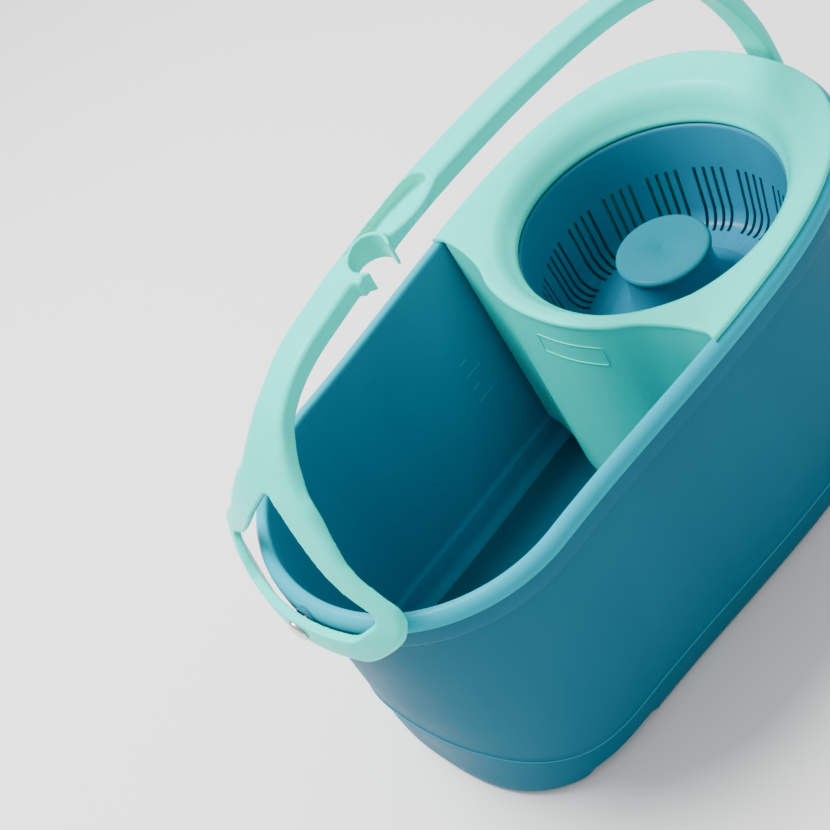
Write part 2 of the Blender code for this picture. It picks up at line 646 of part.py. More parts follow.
def make_handle():
    """Bail, pivot eyes and the stick notch in one moulding."""
    handle = make_bail()
    boolean(handle, make_pouring_hole(), "DIFFERENCE")
    rear_eye = cylinder("rear_eye", 0.0135, 0.0090, (REAR_EYE_FACE - 0.0045 + AXIS_X, 0.0, PIVOT_Z),
                        "X", 32, CUTTERS)
    boolean(handle, rear_eye, "UNION")
    notch_top = OPENING_Z + 0.1560
    collar = cylinder("stick_collar", STICK_R + 0.0028, 0.0160,
                      (STICK_X + AXIS_X, STICK_Y, notch_top - 0.0080), "Z", 40, CUTTERS)
    boolean(handle, collar, "UNION")
    notch = cylinder("stick_notch", STICK_R, 0.0600, (STICK_X + AXIS_X, STICK_Y, notch_top), "Z", 40, CUTTERS)
    boolean(handle, notch, "DIFFERENCE")
    mouth_cut = box("stick_mouth", (0.0200, 0.0200, 0.0600),
                    (STICK_X + AXIS_X, STICK_Y - 0.0130, notch_top), 0.0, CUTTERS)
    boolean(handle, mouth_cut, "DIFFERENCE")
    for name, x in (("front_eye_bore", STIRRUP_FRONT), ("rear_eye_bore", REAR_EYE_FACE)):
        bore = cylinder(name, BUSH_R + FIT_GAP, 0.030, (x + AXIS_X, 0.0, PIVOT_Z), "X", 24, CUTTERS)
        boolean(handle, bore, "DIFFERENCE")
    return finish(handle, MINT, 0.35, parent=BAIL_AXIS)


def turned_x(name, profile, segments, sign):
    """Turned piece whose axis is the bail's axis; profile heights run out along X."""
    piece = turned(name, profile, segments)
    piece.data.transform(Matrix.Rotation(math.pi / 2 * sign, 4, "Y"))
    return move(piece, (AXIS_X, 0.0, PIVOT_Z))


def make_pivots():
    """A shouldered pin and a plain bush at each end of the bail."""
    front_inner = -(STIRRUP_FRONT + STIRRUP_THICK)
    ends = (("front", -1.0, front_inner, STIRRUP_THICK, 0.0086),
            ("rear", 1.0, REAR_EYE_FACE - 0.0090, 0.0090, 0.0092))
    for name, sign, inner, thick, root in ends:
        outer = inner + thick
        bush = turned_x(name + "_pivot_bush", [
            (BUSH_R, outer), (BUSH_R, inner), (PIN_R + FIT_GAP, inner), (PIN_R + FIT_GAP, outer),
        ], 24, sign)
        finish(bush, WHITE, 0.5, parent=BAIL_AXIS)
        head = outer + GAP
        pin = turned_x(name + "_pivot_pin", [
            (0.0065, head + 0.0026), (0.0078, head + 0.0016), (0.0080, head), (PIN_R, head),
            (PIN_R, inner - root), (0.0, inner - root), (0.0, head + 0.0026),
        ], 24, sign)
        finish(pin, STEEL, 0.25, 1.0)


# ---------------------------------------------------------------- feet
FOOT_PLACES = (("front_near", -0.268, -0.062), ("front_far", -0.268, 0.062),
               ("rear_near", 0.062, -0.074), ("rear_far", 0.062, 0.074))


def make_feet():
    """Soft anti-slip pads under the tub."""
    for name, x, y in FOOT_PLACES:
        profile = [(0.0120, BASE_Z - GAP), (0.0120, 0.0005), (0.0113, 0.0), (0.0, 0.0),
                   (0.0, BASE_Z - GAP)]
        pad = turned("foot_pad_" + name, profile, 20, (x + AXIS_X, y, 0.0))
        finish(pad, BLACK, 0.8)


# ---------------------------------------------------------------- build
make_tub()
make_insert()
make_basket()
make_post()
make_post_cap()
make_bush("upper_bush", HUB_TOP_Z - 0.0110, HUB_TOP_Z, BASKET_AXIS)
make_bush("lower_bush", HUB_LOW_Z, HUB_LOW_Z + 0.0120, BASKET_AXIS)
make_spindle()
make_thrust_washer()
make_retaining_washer()
make_spindle_screw()
make_bracket()
make_bracket_screws()
make_handle()
make_pivots()
make_feet()
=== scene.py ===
"""Looks of the spin mop bucket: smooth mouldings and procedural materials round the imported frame.

Lengths are metres. Plan positions are written from the basket's axis and heights from the
basket's mouth wherever a name says so; both come from the frame's own boxes.
"""
import math

import bmesh
import bpy
from mathutils import Matrix, Vector


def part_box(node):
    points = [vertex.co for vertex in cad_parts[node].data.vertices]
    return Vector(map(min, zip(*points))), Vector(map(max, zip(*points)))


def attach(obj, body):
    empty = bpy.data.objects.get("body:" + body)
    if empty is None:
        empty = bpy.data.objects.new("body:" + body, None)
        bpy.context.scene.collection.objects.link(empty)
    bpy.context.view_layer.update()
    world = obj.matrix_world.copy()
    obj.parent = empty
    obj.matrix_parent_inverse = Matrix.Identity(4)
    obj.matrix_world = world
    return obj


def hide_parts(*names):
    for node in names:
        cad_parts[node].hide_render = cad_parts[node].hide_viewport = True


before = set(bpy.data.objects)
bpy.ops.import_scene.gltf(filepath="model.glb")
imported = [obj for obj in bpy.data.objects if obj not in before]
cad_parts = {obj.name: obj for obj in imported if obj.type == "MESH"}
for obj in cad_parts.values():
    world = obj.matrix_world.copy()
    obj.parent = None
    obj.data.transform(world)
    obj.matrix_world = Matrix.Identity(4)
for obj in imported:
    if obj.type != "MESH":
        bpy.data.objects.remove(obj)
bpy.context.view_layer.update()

# ---------------------------------------------------------------- places taken from the frame
BASKET_LOW, BASKET_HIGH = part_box("spin_basket")
AXIS_X = (BASKET_LOW.x + BASKET_HIGH.x) / 2
OPENING_Z = BASKET_HIGH.z + 0.0036
PIVOT_LOW, PIVOT_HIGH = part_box("front_pivot_pin")
PIVOT_Z = (PIVOT_LOW.z + PIVOT_HIGH.z) / 2
POST_TOP_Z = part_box("post_cap")[1].z
BASE_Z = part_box("bucket_tub")[0].z

# ---------------------------------------------------------------- tub
NOSE_CENTRE = -0.2332
NOSE_LENGTH = 0.1034
NOSE_HALF_WIDTH = 0.1099
WIDEST_X = -0.0435
HALF_WIDTH = 0.1184
REAR_LENGTH = 0.1680
REAR_POWER = 2.5
FOOT_NOSE_POWER = 2.6
NOSE_STEPS = 44
SIDE_STEPS = 30
REAR_STEPS = 54
RIM_Z_AT_AXIS = OPENING_Z + 0.0183
RIM_RISE = 0.053
WALL = 0.0028
SKIRT_DROP = 0.022
STEP_Z = BASE_Z + 0.0260
STEP_CLIMB = 0.035
STEP_CLIMB_FROM = -0.262
RECESS_FROM = -0.2930       # raised stretch of the foot's edge, both sides
RECESS_TO = -0.2250
RECESS_RISE = 0.0040

# ---------------------------------------------------------------- basket and insert
FLOOR_Z = OPENING_Z - 0.0860
SLOT_TOP_Z = OPENING_Z - 0.0397
SLOT_GROUPS = 16
SLOT_PHASE_DEG = 17.6
SLOTS_PER_GROUP = 4
SLOT_WIDTH = 0.0024
SLOT_PITCH_DEG = 4.55
WELL_R = 0.0955
WELL_BOTTOM_Z = FLOOR_Z - 0.0240
HUB_LOW_Z = FLOOR_Z - 0.0170
HUB_TOP_Z = FLOOR_Z + 0.0370
SCREW_R = 0.103
BUSH_R = 0.0062
GAP = 0.0003
TURN_STEPS = 192

# ---------------------------------------------------------------- bail
STICK_X = -0.1962
STICK_Y = -0.0080
STICK_R = 0.0121
NOTCH_TOP = 0.1560
PIN_R = 0.004
FIT_GAP = 0.0001
FIRST_VOXEL = 0.0013
SECOND_VOXEL = 0.0010
VOXEL = 0.0008
BAIL_LINE = (
    (-0.3566, -0.0235, 0.0478, 0.0070), (-0.3566, -0.0226, 0.0515, 0.0070),
    (-0.3566, -0.0190, 0.0580, 0.0070), (-0.3566, -0.0120, 0.0672, 0.0070),
    (-0.3565, -0.0050, 0.0748, 0.0068), (-0.3562, 0.0010, 0.0797, 0.0066),
    (-0.3538, 0.0080, 0.0827, 0.0062), (-0.3491, 0.0155, 0.0836, 0.0060),
    (-0.3448, 0.0228, 0.0812, 0.0056), (-0.3417, 0.0295, 0.0748, 0.0052),
    (-0.3396, 0.0355, 0.0679, 0.0050), (-0.3379, 0.0420, 0.0611, 0.0050),
    (-0.3352, 0.0505, 0.0535, 0.0056), (-0.3317, 0.0605, 0.0474, 0.0066),
    (-0.3275, 0.0710, 0.0400, 0.0080), (-0.3240, 0.0799, 0.0335, 0.0080),
    (-0.3202, 0.0868, 0.0273, 0.0082),
    (-0.3165, 0.0932, 0.0239, 0.0085), (-0.3128, 0.1000, 0.0208, 0.0088),
    (-0.3078, 0.1074, 0.0178, 0.0092), (-0.3020, 0.1145, 0.0154, 0.0097),
    (-0.2960, 0.1212, 0.0136, 0.0103), (-0.2846, 0.1297, 0.0121, 0.0113),
    (-0.2716, 0.1374, 0.0118, 0.0120), (-0.2557, 0.1436, 0.0118, 0.0125),
    (-0.2372, 0.1476, 0.0118, 0.0125), (-0.2100, 0.1528, 0.0118, 0.0125),
    (-0.1700, 0.1583, 0.0118, 0.0125), (-0.1200, 0.1615, 0.0118, 0.0125),
    (-0.0500, 0.1610, 0.0118, 0.0125), (0.0200, 0.1540, 0.0118, 0.0125),
    (0.0720, 0.1380, 0.0118, 0.0125), (0.1120, 0.1060, 0.0118, 0.0125),
    (0.1350, 0.0600, 0.0118, 0.0102), (0.1450, 0.0200, 0.0118, 0.0088),
    (0.1465, 0.0000, 0.0118, 0.0088), (0.1465, -0.0120, 0.0118, 0.0088),
)
STIRRUP_FRONT = BAIL_LINE[0][0]
STIRRUP_THICK = BAIL_LINE[0][3]
REAR_EYE_FACE = 0.1470
REAR_EYE_THICK = 0.0090
BAIL_STEPS = 6
LEG_BOW = 3.4
UPPER_BOW = 2.28
STIRRUP_HOLE = (
    (0.0, -0.0035), (0.0300, -0.0035), (0.0440, -0.0028), (0.0510, 0.0005), (0.0570, 0.0055),
    (0.0625, 0.0100), (0.0660, 0.0140), (0.0668, 0.0172), (0.0645, 0.0203), (0.0603, 0.0232),
    (0.0472, 0.0307), (0.0355, 0.0424), (0.0218, 0.0592), (0.0108, 0.0715), (0.0060, 0.0768),
    (0.0025, 0.0805), (0.0, 0.0812),
)

# ---------------------------------------------------------------- colours (linear)
MINT = (0.0, 0.780, 0.650)
TEAL = (0.012, 0.128, 0.196)
# painted light: the tub is one teal moulding; this lighter copy of its teal is a painted highlight, put on the
# rim's crest and the fill marks as if lit from above
PAINTED_LIT_TEAL = (0.0, 0.370, 0.490)
# painted light: a lighter copy of the tub's teal, painted on its inside and on the step bead in place of the light
# that falls there
PAINTED_LIGHTER_TEAL = (0.022, 0.255, 0.385)
BASKET_TEAL = (0.012, 0.185, 0.290)
CAP_TEAL = (0.001, 0.165, 0.225)
STEEL = (0.62, 0.63, 0.64)
BEARING_WHITE = (0.78, 0.78, 0.75)
RUBBER = (0.022, 0.023, 0.025)
PAPER = (0.93, 0.93, 0.93)


# ---------------------------------------------------------------- materials
class Nodes:
    """Short names for building one material's node tree."""

    def __init__(self, name):
        self.material = bpy.data.materials.new(name)
        self.material.use_nodes = True
        self.tree = self.material.node_tree
        self.shader = self.tree.nodes["Principled BSDF"]
        self.place = self.add("ShaderNodeTexCoord").outputs["Object"]

    def add(self, kind, **settings):
        node = self.tree.nodes.new(kind)
        for key, value in settings.items():
            setattr(node, key, value)
        return node

    def link(self, source, target):
        self.tree.links.new(source, target)

    def noise(self, scale, detail=3.0, rough=0.5, stretch=None):
        texture = self.add("ShaderNodeTexNoise")
        texture.inputs["Scale"].default_value = scale
        texture.inputs["Detail"].default_value = detail
        texture.inputs["Roughness"].default_value = rough
        source = self.place
        if stretch:
            mapping = self.add("ShaderNodeMapping")
            mapping.inputs["Scale"].default_value = stretch
            self.link(source, mapping.inputs["Vector"])
            source = mapping.outputs["Vector"]
        self.link(source, texture.inputs["Vector"])
        return texture.outputs["Fac"]

    def span(self, source, low, high, to_low, to_high):
        ranger = self.add("ShaderNodeMapRange")
        for key, value in (("From Min", low), ("From Max", high), ("To Min", to_low), ("To Max", to_high)):
            ranger.inputs[key].default_value = value
        self.link(source, ranger.inputs["Value"])
        return ranger.outputs["Result"]

    def blend(self, share, first, second):
        mix = self.add("ShaderNodeMix", data_type="RGBA")
        self.link(share, mix.inputs["Factor"])
        for value, socket in ((first, mix.inputs["A"]), (second, mix.inputs["B"])):
            if isinstance(value, tuple):
                socket.default_value = (*value, 1.0)
            else:
                self.link(value, socket)
        return mix.outputs["Result"]

    def sums(self, operation, first, second):
        maths = self.add("ShaderNodeMath", operation=operation)
        for value, socket in ((first, maths.inputs[0]), (second, maths.inputs[1])):
            if isinstance(value, float):
                socket.default_value = value
            else:
                self.link(value, socket)
        return maths.outputs[0]

    def bump(self, height, strength, distance, below=None):
        relief = self.add("ShaderNodeBump")
        relief.inputs["Strength"].default_value = strength
        relief.inputs["Distance"].default_value = distance
        self.link(height, relief.inputs["Height"])
        if below:
            self.link(below, relief.inputs["Normal"])
        return relief.outputs["Normal"]


def tinted(colour, factor):
    return tuple(min(channel * factor, 1.0) for channel in colour)


def plastic(name, colour, rough, gloss=0.20, grain=0.10, swirl=0.05, scuff=0.0, glow=0.0):
    """Moulded plastic: faint flow clouding, fine spark grain, paler edges, scuffs low down."""
    nodes = Nodes(name)
    flow = nodes.noise(9.0, 4.0, 0.55, (1.0, 1.0, 0.45))
    tone = nodes.blend(nodes.span(flow, 0.35, 0.65, 0.0, 1.0), tinted(colour, 1.0 - swirl),
                       tinted(colour, 1.0 + swirl))
    edge = nodes.add("ShaderNodeNewGeometry").outputs["Pointiness"]
    worn = nodes.sums("MULTIPLY", nodes.span(edge, 0.58, 0.75, 0.0, 1.0), nodes.span(
        nodes.noise(55.0, 3.0), 0.40, 0.70, 0.10, 0.50))
    pale = tuple(channel * 1.2 + 0.004 for channel in colour)
    tone = nodes.blend(worn, tone, pale)
    dull = nodes.span(nodes.noise(38.0, 5.0, 0.6), 0.30, 0.75, rough - 0.05, rough + 0.06)
    if scuff:
        height = nodes.add("ShaderNodeSeparateXYZ")
        nodes.link(nodes.place, height.inputs["Vector"])
        low = nodes.span(height.outputs["Z"], 0.045, 0.004, 0.0, 1.0)
        marks = nodes.span(nodes.noise(420.0, 4.0, 0.7, (1.0, 1.0, 5.0)), 0.54, 0.66, 0.0, scuff)
        rubbed = nodes.sums("MULTIPLY", low, marks)
        tone = nodes.blend(rubbed, tone, pale)
        dull = nodes.sums("ADD", dull, nodes.sums("MULTIPLY", rubbed, 0.3))
    nodes.link(tone, nodes.shader.inputs["Base Color"])
    nodes.link(dull, nodes.shader.inputs["Roughness"])
    ripple = nodes.bump(nodes.noise(22.0, 2.0), 0.10, 0.0010)
    nodes.link(nodes.bump(nodes.noise(1400.0, 2.0), grain, 0.00012, ripple), nodes.shader.inputs["Normal"])
    nodes.shader.inputs["IOR"].default_value = 1.49
    nodes.shader.inputs["Specular IOR Level"].default_value = gloss
    nodes.shader.inputs["Subsurface Weight"].default_value = glow
    nodes.shader.inputs["Subsurface Radius"].default_value = (0.004, 0.008, 0.007)
    nodes.shader.inputs["Subsurface Scale"].default_value = 0.5
    return nodes.material


def metal(name, colour, rough):
    """Turned steel with fine circular tool marks and a little stain."""
    nodes = Nodes(name)
    stain = nodes.span(nodes.noise(160.0, 4.0), 0.35, 0.70, 0.0, 1.0)
    nodes.link(nodes.blend(stain, colour, tinted(colour, 0.82)), nodes.shader.inputs["Base Color"])
    nodes.link(nodes.span(nodes.noise(900.0, 3.0, 0.6, (6.0, 1.0, 1.0)), 0.3, 0.7, rough - 0.06, rough + 0.10),
               nodes.shader.inputs["Roughness"])
    nodes.link(nodes.bump(nodes.noise(2600.0, 2.0, 0.5, (8.0, 1.0, 1.0)), 0.15, 0.00005),
               nodes.shader.inputs["Normal"])
    nodes.shader.inputs["Metallic"].default_value = 1.0
    return nodes.material


def rubber(name, colour):
    """Soft foot rubber: pebbled, matt, a little dusty."""
    nodes = Nodes(name)
    dust = nodes.span(nodes.noise(240.0, 5.0, 0.65), 0.45, 0.75, 0.0, 0.6)
    nodes.link(nodes.blend(dust, colour, tinted(colour, 3.0)), nodes.shader.inputs["Base Color"])
    nodes.link(nodes.bump(nodes.noise(1500.0, 3.0), 0.5, 0.0002), nodes.shader.inputs["Normal"])
    nodes.shader.inputs["Roughness"].default_value = 0.82
    return nodes.material


TUB_PLASTIC = plastic("tub_moulding", TEAL, 0.46, gloss=0.04, swirl=0.04, scuff=0.25)
# painted light: the tub's teal made lighter, for its inside and the step bead
PAINTED_LIGHTER_PLASTIC = plastic("tub_painted_lighter", PAINTED_LIGHTER_TEAL, 0.40, gloss=0.08, swirl=0.05)
# painted highlight: the tub's teal made lighter, for the rim's crest and the fill marks
PAINTED_LIT_PLASTIC = plastic("tub_painted_lit", PAINTED_LIT_TEAL, 0.28, gloss=0.08, swirl=0.04)
MINT_PLASTIC = plastic("mint_moulding", MINT, 0.30, gloss=0.11, swirl=0.03, glow=0.10)
BASKET_PLASTIC = plastic("basket_moulding", BASKET_TEAL, 0.33, gloss=0.15, swirl=0.05)
CAP_PLASTIC = plastic("cap_moulding", CAP_TEAL, 0.28, gloss=0.06, swirl=0.04)
BRACKET_PLASTIC = plastic("bracket_moulding", MINT, 0.42, gloss=0.12, swirl=0.04)
BUSH_PLASTIC = plastic("bearing_moulding", BEARING_WHITE, 0.48, swirl=0.03)
STEEL_METAL = metal("turned_steel", STEEL, 0.26)
PAD_RUBBER = rubber("pad_rubber", RUBBER)


# ---------------------------------------------------------------- mesh helpers
def smoothstep(value):
    value = min(max(value, 0.0), 1.0)
    return value * value * (3.0 - 2.0 * value)


def new_object(name, shape, angle=40.0):
    """A smooth-shaded object from a bmesh, kept at the origin."""
    bmesh.ops.recalc_face_normals(shape, faces=shape.faces)
    data = bpy.data.meshes.new(name)
    shape.to_mesh(data)
    shape.free()
    data.shade_smooth()
    data.set_sharp_from_angle(angle=math.radians(angle))
    obj = bpy.data.objects.new(name, data)
    bpy.context.scene.collection.objects.link(obj)
    return obj


def add_loft(shape, rings, looped=False, capped=True, slot=0):
    """Skin equal rings of points into the bmesh."""
    rows = [[shape.verts.new(point) for point in ring] for ring in rings]
    pairs = list(zip(rows, rows[1:]))
    if looped:
        pairs.append((rows[-1], rows[0]))
    for low, high in pairs:
        for i in range(len(low)):
            j = (i + 1) % len(low)
            shape.faces.new((low[i], low[j], high[j], high[i])).material_index = slot
    if capped and not looped:
        shape.faces.new(rows[0]).material_index = slot
        shape.faces.new(rows[-1]).material_index = slot
    return rows


def arc(centre_r, centre_z, radius, start_deg, end_deg, steps=5):
    """Points of a circular fillet in a turned profile."""
    points = []
    for i in range(steps + 1):
        turn = math.radians(start_deg + (end_deg - start_deg) * i / steps)
        points.append((centre_r + radius * math.cos(turn), centre_z + radius * math.sin(turn)))
    return points


def add_turned(shape, profile, place=Matrix.Identity(4), steps=TURN_STEPS):
    """Closed (radius, height) profile turned about Z, then placed; poles where radius is 0."""
    rings = []
    for radius, height in profile:
        if radius == 0.0:
            rings.append([shape.verts.new(place @ Vector((0.0, 0.0, height)))] * steps)
        else:
            rings.append([shape.verts.new(place @ Vector((radius * math.cos(math.tau * i / steps),
                                                          radius * math.sin(math.tau * i / steps), height)))
                          for i in range(steps)])
    for low, high in zip(rings, rings[1:] + rings[:1]):
        for i in range(steps):
            j = (i + 1) % steps
            corners = list(dict.fromkeys((low[i], low[j], high[j], high[i])))
            if len(corners) > 2:
                shape.faces.new(corners)


def turned(name, profile, place=None, steps=TURN_STEPS, angle=40.0):
    shape = bmesh.new()
    add_turned(shape, profile, place or Matrix.Translation((AXIS_X, 0.0, 0.0)), steps)
    return new_object(name, shape, angle)


def solid_box(name, size, place):
    shape = bmesh.new()
    bmesh.ops.create_cube(shape, size=1.0)
    bmesh.ops.transform(shape, matrix=place @ Matrix.Diagonal((*size, 1.0)), verts=shape.verts)
    return new_object(name, shape)


def joined(obj, others):
    """Put the other objects' shells into the first object's mesh and drop them."""
    shape = bmesh.new()
    for each in [obj] + others:
        shape.from_mesh(each.data)
    shape.to_mesh(obj.data)
    shape.free()
    for each in others:
        bpy.data.objects.remove(each)
    return obj


def carve(obj, tool, solver="EXACT"):
    """Cut one closed object's volume out of another and drop the tool."""
    change = obj.modifiers.new("carve", "BOOLEAN")
    change.operation = "DIFFERENCE"
    change.solver = solver
    change.object = tool
    settle(obj)
    bpy.data.objects.remove(tool)


def remesh(obj, voxel, smoothing):
    """Fuse a mesh's shells into one even skin and relax it, which rounds its joins."""
    skin = obj.modifiers.new("skin", "REMESH")
    skin.mode = "VOXEL"
    skin.voxel_size = voxel
    relax = obj.modifiers.new("relax", "SMOOTH")
    relax.factor = 0.5
    relax.iterations = smoothing
    settle(obj)
    obj.data.shade_smooth()


def settle(obj):
    """Replace the mesh by its evaluated form."""
    seen = obj.evaluated_get(bpy.context.evaluated_depsgraph_get())
    data = bpy.data.meshes.new_from_object(seen)
    obj.modifiers.clear()
    obj.data = data
    data.name = obj.name


def dress(obj, body, slot, nodes, *materials):
    """Give a piece its materials, its body and the CAD nodes it stands for; the slot argument is not used."""
    for index, surface in enumerate(materials):
        if index < len(obj.data.materials):
            obj.data.materials[index] = surface
        else:
            obj.data.materials.append(surface)
    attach(obj, body)
    if nodes:
        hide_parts(*nodes)
    return obj


def spline(points, steps):
    """Catmull-Rom curve through the points."""
    out = []
    for i in range(len(points) - 1):
        p0, p1, p2 = points[max(i - 1, 0)], points[i], points[i + 1]
        p3 = points[min(i + 2, len(points) - 1)]
        for k in range(steps):
            t = k / steps
            out.append(tuple(
                0.5 * (2 * b + (c - a) * t + (2 * a - 5 * b + 4 * c - d) * t * t
                       + (3 * b - a - 3 * c + d) * t ** 3)
                for a, b, c, d in zip(p0, p1, p2, p3)))
    out.append(points[-1])
    return out


# ---------------------------------------------------------------- plan of the tub
def side_half_width(x):
    share = smoothstep((x - NOSE_CENTRE) / (WIDEST_X - NOSE_CENTRE))
    return NOSE_HALF_WIDTH + (HALF_WIDTH - NOSE_HALF_WIDTH) * share


def mouth(nose_power=2.0):
    """Inner rim of the tub, counter-clockwise from the lip, from the basket's axis."""
    half = []
    for i in range(NOSE_STEPS + 1):
        turn = math.pi / 2 * i / NOSE_STEPS
        x = NOSE_CENTRE - NOSE_LENGTH * math.cos(turn) ** (2 / nose_power) * (i < NOSE_STEPS)
        half.append((x, NOSE_HALF_WIDTH * math.sin(turn) ** (2 / nose_power)))
    for i in range(1, SIDE_STEPS + 1):
        x = NOSE_CENTRE + (WIDEST_X - NOSE_CENTRE) * i / SIDE_STEPS
        half.append((x, side_half_width(x)))
    for i in range(1, REAR_STEPS + 1):
        turn = math.pi / 2 * i / REAR_STEPS
        y = HALF_WIDTH * math.cos(turn) ** (2 / REAR_POWER) if i < REAR_STEPS else 0.0
        half.append((WIDEST_X + REAR_LENGTH * math.sin(turn) ** (2 / REAR_POWER), y))
    return [(x, -y) for x, y in half] + list(reversed(half))[1:-1]


def offset_outline(points, distance):
    """Move an outline outwards along its normals."""
    moved = []
    for i, (x, y) in enumerate(points):
        ax, ay = points[i - 1]
        bx, by = points[(i + 1) % len(points)]
        length = math.hypot(bx - ax, by - ay)
        moved.append((x + (by - ay) / length * distance, y - (bx - ax) / length * distance))
    return moved


MOUTH = mouth()
STEP_OUTLINE = mouth((FOOT_NOSE_POWER + 2.0) / 2)


def rim_z(x):
    return RIM_Z_AT_AXIS + RIM_RISE * x


def mouth_radius(angle, outline):
    """Distance from the basket's axis to an outline, in a direction."""
    dx, dy = math.cos(angle), math.sin(angle)
    best = 0.0
    for (ax, ay), (bx, by) in zip(outline, outline[1:] + outline[:1]):
        ex, ey = bx - ax, by - ay
        det = dy * ex - dx * ey
        if abs(det) > 1e-12:
            reach = (ay * ex - ax * ey) / det
            share = (dx * ay - dy * ax) / det
            if -1e-9 <= share <= 1.0 + 1e-9 and reach > best:
                best = reach
    return best


def step_climb(x):
    """How far the step in the wall rises towards the nose."""
    nose_end = NOSE_CENTRE - NOSE_LENGTH
    share = min(max((STEP_CLIMB_FROM - x) / (STEP_CLIMB_FROM - nose_end), 0.0), 1.0)
    return STEP_CLIMB * share * share


def recess_rise(x):
    """The foot's lower edge is raised over a short stretch behind the nose."""
    share = smoothstep((x - RECESS_FROM) / 0.010) * (1.0 - smoothstep((x - RECESS_TO + 0.010) / 0.010))
    return RECESS_RISE * share


# offset from the mouth outline, height, what the height is measured from, share of the recess
OUTER_FOOT = (
    (-0.0200, 0.0, "base", 0.0), (-0.0110, 0.0, "base", 0.0), (-0.0090, 0.0, "base", 1.0),
    (-0.0072, 0.0002, "base", 1.0), (-0.0052, 0.0010, "base", 1.0), (-0.0038, 0.0024, "base", 1.0),
    (-0.0032, 0.0044, "base", 1.0), (-0.0030, 0.0072, "base", 0.0), (-0.0024, 0.0190, "base", 0.0),
    (-0.0020, -0.0024, "step", 0.0), (-0.0016, -0.0014, "step", 0.0), (-0.0002, -0.0008, "step", 0.0),
    (0.0008, -0.0002, "step", 0.0), (0.0009, 0.0008, "step", 0.0), (0.0004, 0.0018, "step", 0.0),
    (0.0005, 0.0040, "step", 0.0),
)
UNDER_FLANGE = (
    (WALL, 0.0110), (WALL, 0.0095), (0.0032, 0.0073), (0.0045, 0.0062), (0.0066, 0.0060),
    (0.0078, 0.0066), (0.0081, 0.0080), (0.0082, SKIRT_DROP - 0.0008), (0.0086, SKIRT_DROP),
)
ROLLED_RIM = (
    (0.0097, SKIRT_DROP), (0.0103, SKIRT_DROP - 0.0005), (0.0105, SKIRT_DROP - 0.0015),
    (0.0105, 0.0155), (0.0105, 0.0118), (0.01035, 0.0088), (0.0100, 0.0066), (0.0093, 0.0045),
    (0.0082, 0.0027), (0.0067, 0.0013), (0.0050, 0.0005), (0.0033, 0.0002), (0.0019, 0.0004),
    (0.0009, 0.0010), (0.0002, 0.0020), (0.0, 0.0036),
)
SKIRT_RINGS = 6             # sections of the rolled rim that keep the body's colour; the crest above them is painted lighter, a painted highlight
INNER_FOOT = (
    (-0.0026, 0.0030, "step", 0.0), (-0.0028, 0.0, "step", 0.0), (-0.0036, -0.0012, "step", 0.0),
    (-0.0048, -0.0020, "step", 0.0), (-0.0052, -0.0040, "step", 0.0), (-0.0060, 0.0120, "base", 0.0),
    (-0.0064, 0.0085, "base", 0.0), (-0.0078, 0.0055, "base", 0.0), (-0.0105, 0.0036, "base", 0.0),
    (-0.0140, 0.0030, "base", 0.0), (-0.0200, 0.0028, "base", 0.0),
)


def between(first, second, shares):
    """Rings part of the way from one ring to the next."""
    return [[a.lerp(b, share) for a, b in zip(first, second)] for share in shares]


def make_tub():
    """Tub with a stepped foot, a rolled rim and its overhanging skirt."""
    outlines = {"base": mouth(FOOT_NOSE_POWER), "step": STEP_OUTLINE, "rim": MOUTH}

    def ring(distance, height, level, share=0.0):
        points = []
        for (x, y), (mx, _) in zip(offset_outline(outlines[level], distance), outlines[level]):
            z = {"base": BASE_Z + height + recess_rise(mx) * share, "step": STEP_Z + height + step_climb(mx),
                 "rim": rim_z(mx) - height}[level]
            points.append(Vector((x + AXIS_X, y, z)))
        return points

    outside = [ring(*entry) for entry in OUTER_FOOT]
    under = [ring(distance, height, "rim") for distance, height in UNDER_FLANGE]
    outside += between(outside[-1], under[0], (0.2, 0.4, 0.6, 0.8))
    rim = [ring(distance, height, "rim") for distance, height in ROLLED_RIM]
    foot = [ring(*entry) for entry in INNER_FOOT]
    inside = between(rim[-1], foot[0], (0.06, 0.2, 0.4, 0.6, 0.8)) + foot
    shape = bmesh.new()
    add_loft(shape, outside + under + rim + inside)
    rim_from = len(outside) + len(under) - 1
    rim_to = rim_from + len(rim)
    count = len(MOUTH)
    shape.faces.ensure_lookup_table()
    inner_to = rim_to + len(inside) - 1
    # painted light: the rim's crest gets slot 1, a lighter copy of the tub's teal as a painted highlight; the
    # inside gets slot 2, another lighter copy standing in for the light inside
    crest_from = rim_from + SKIRT_RINGS
    for low, high, slot in ((crest_from, rim_to, 1), (rim_to, inner_to, 2)):
        for index in range(low * count, high * count):
            shape.faces[index].material_index = slot
    # the inner floor gets the painted lighter teal as well
    shape.faces[inner_to * count + 1].material_index = 2
    front_wall = NOSE_CENTRE - NOSE_LENGTH - WALL
    rear_wall = WIDEST_X + REAR_LENGTH + WALL
    for sign, root, face in ((-1.0, front_wall + 0.0012, front_wall - 0.0092),
                             (1.0, rear_wall - 0.0018, rear_wall + 0.0098)):
        low, high = sign * root, sign * face
        bore = PIN_R + FIT_GAP
        profile = [(bore, low), (0.0108, low), (0.0100, low + 0.0022), (0.0095, low + 0.0040),
                   *arc(0.0087, high - 0.0008, 0.0008, 0.0, 90.0, 3), (bore + 0.0005, high), (bore, high - 0.0005)]
        place = Matrix.Translation((AXIS_X, 0.0, PIVOT_Z)) @ Matrix.Rotation(math.pi / 2 * sign, 4, "Y")
        add_turned(shape, profile, place, 64)
    tub = new_object("tub_moulding", shape, 50.0)
    # slots 1 and 2 are painted lighter copies of the tub's one teal
    dress(tub, "bucket", "tub_plastic", ["bucket_tub"], TUB_PLASTIC, PAINTED_LIT_PLASTIC, PAINTED_LIGHTER_PLASTIC)


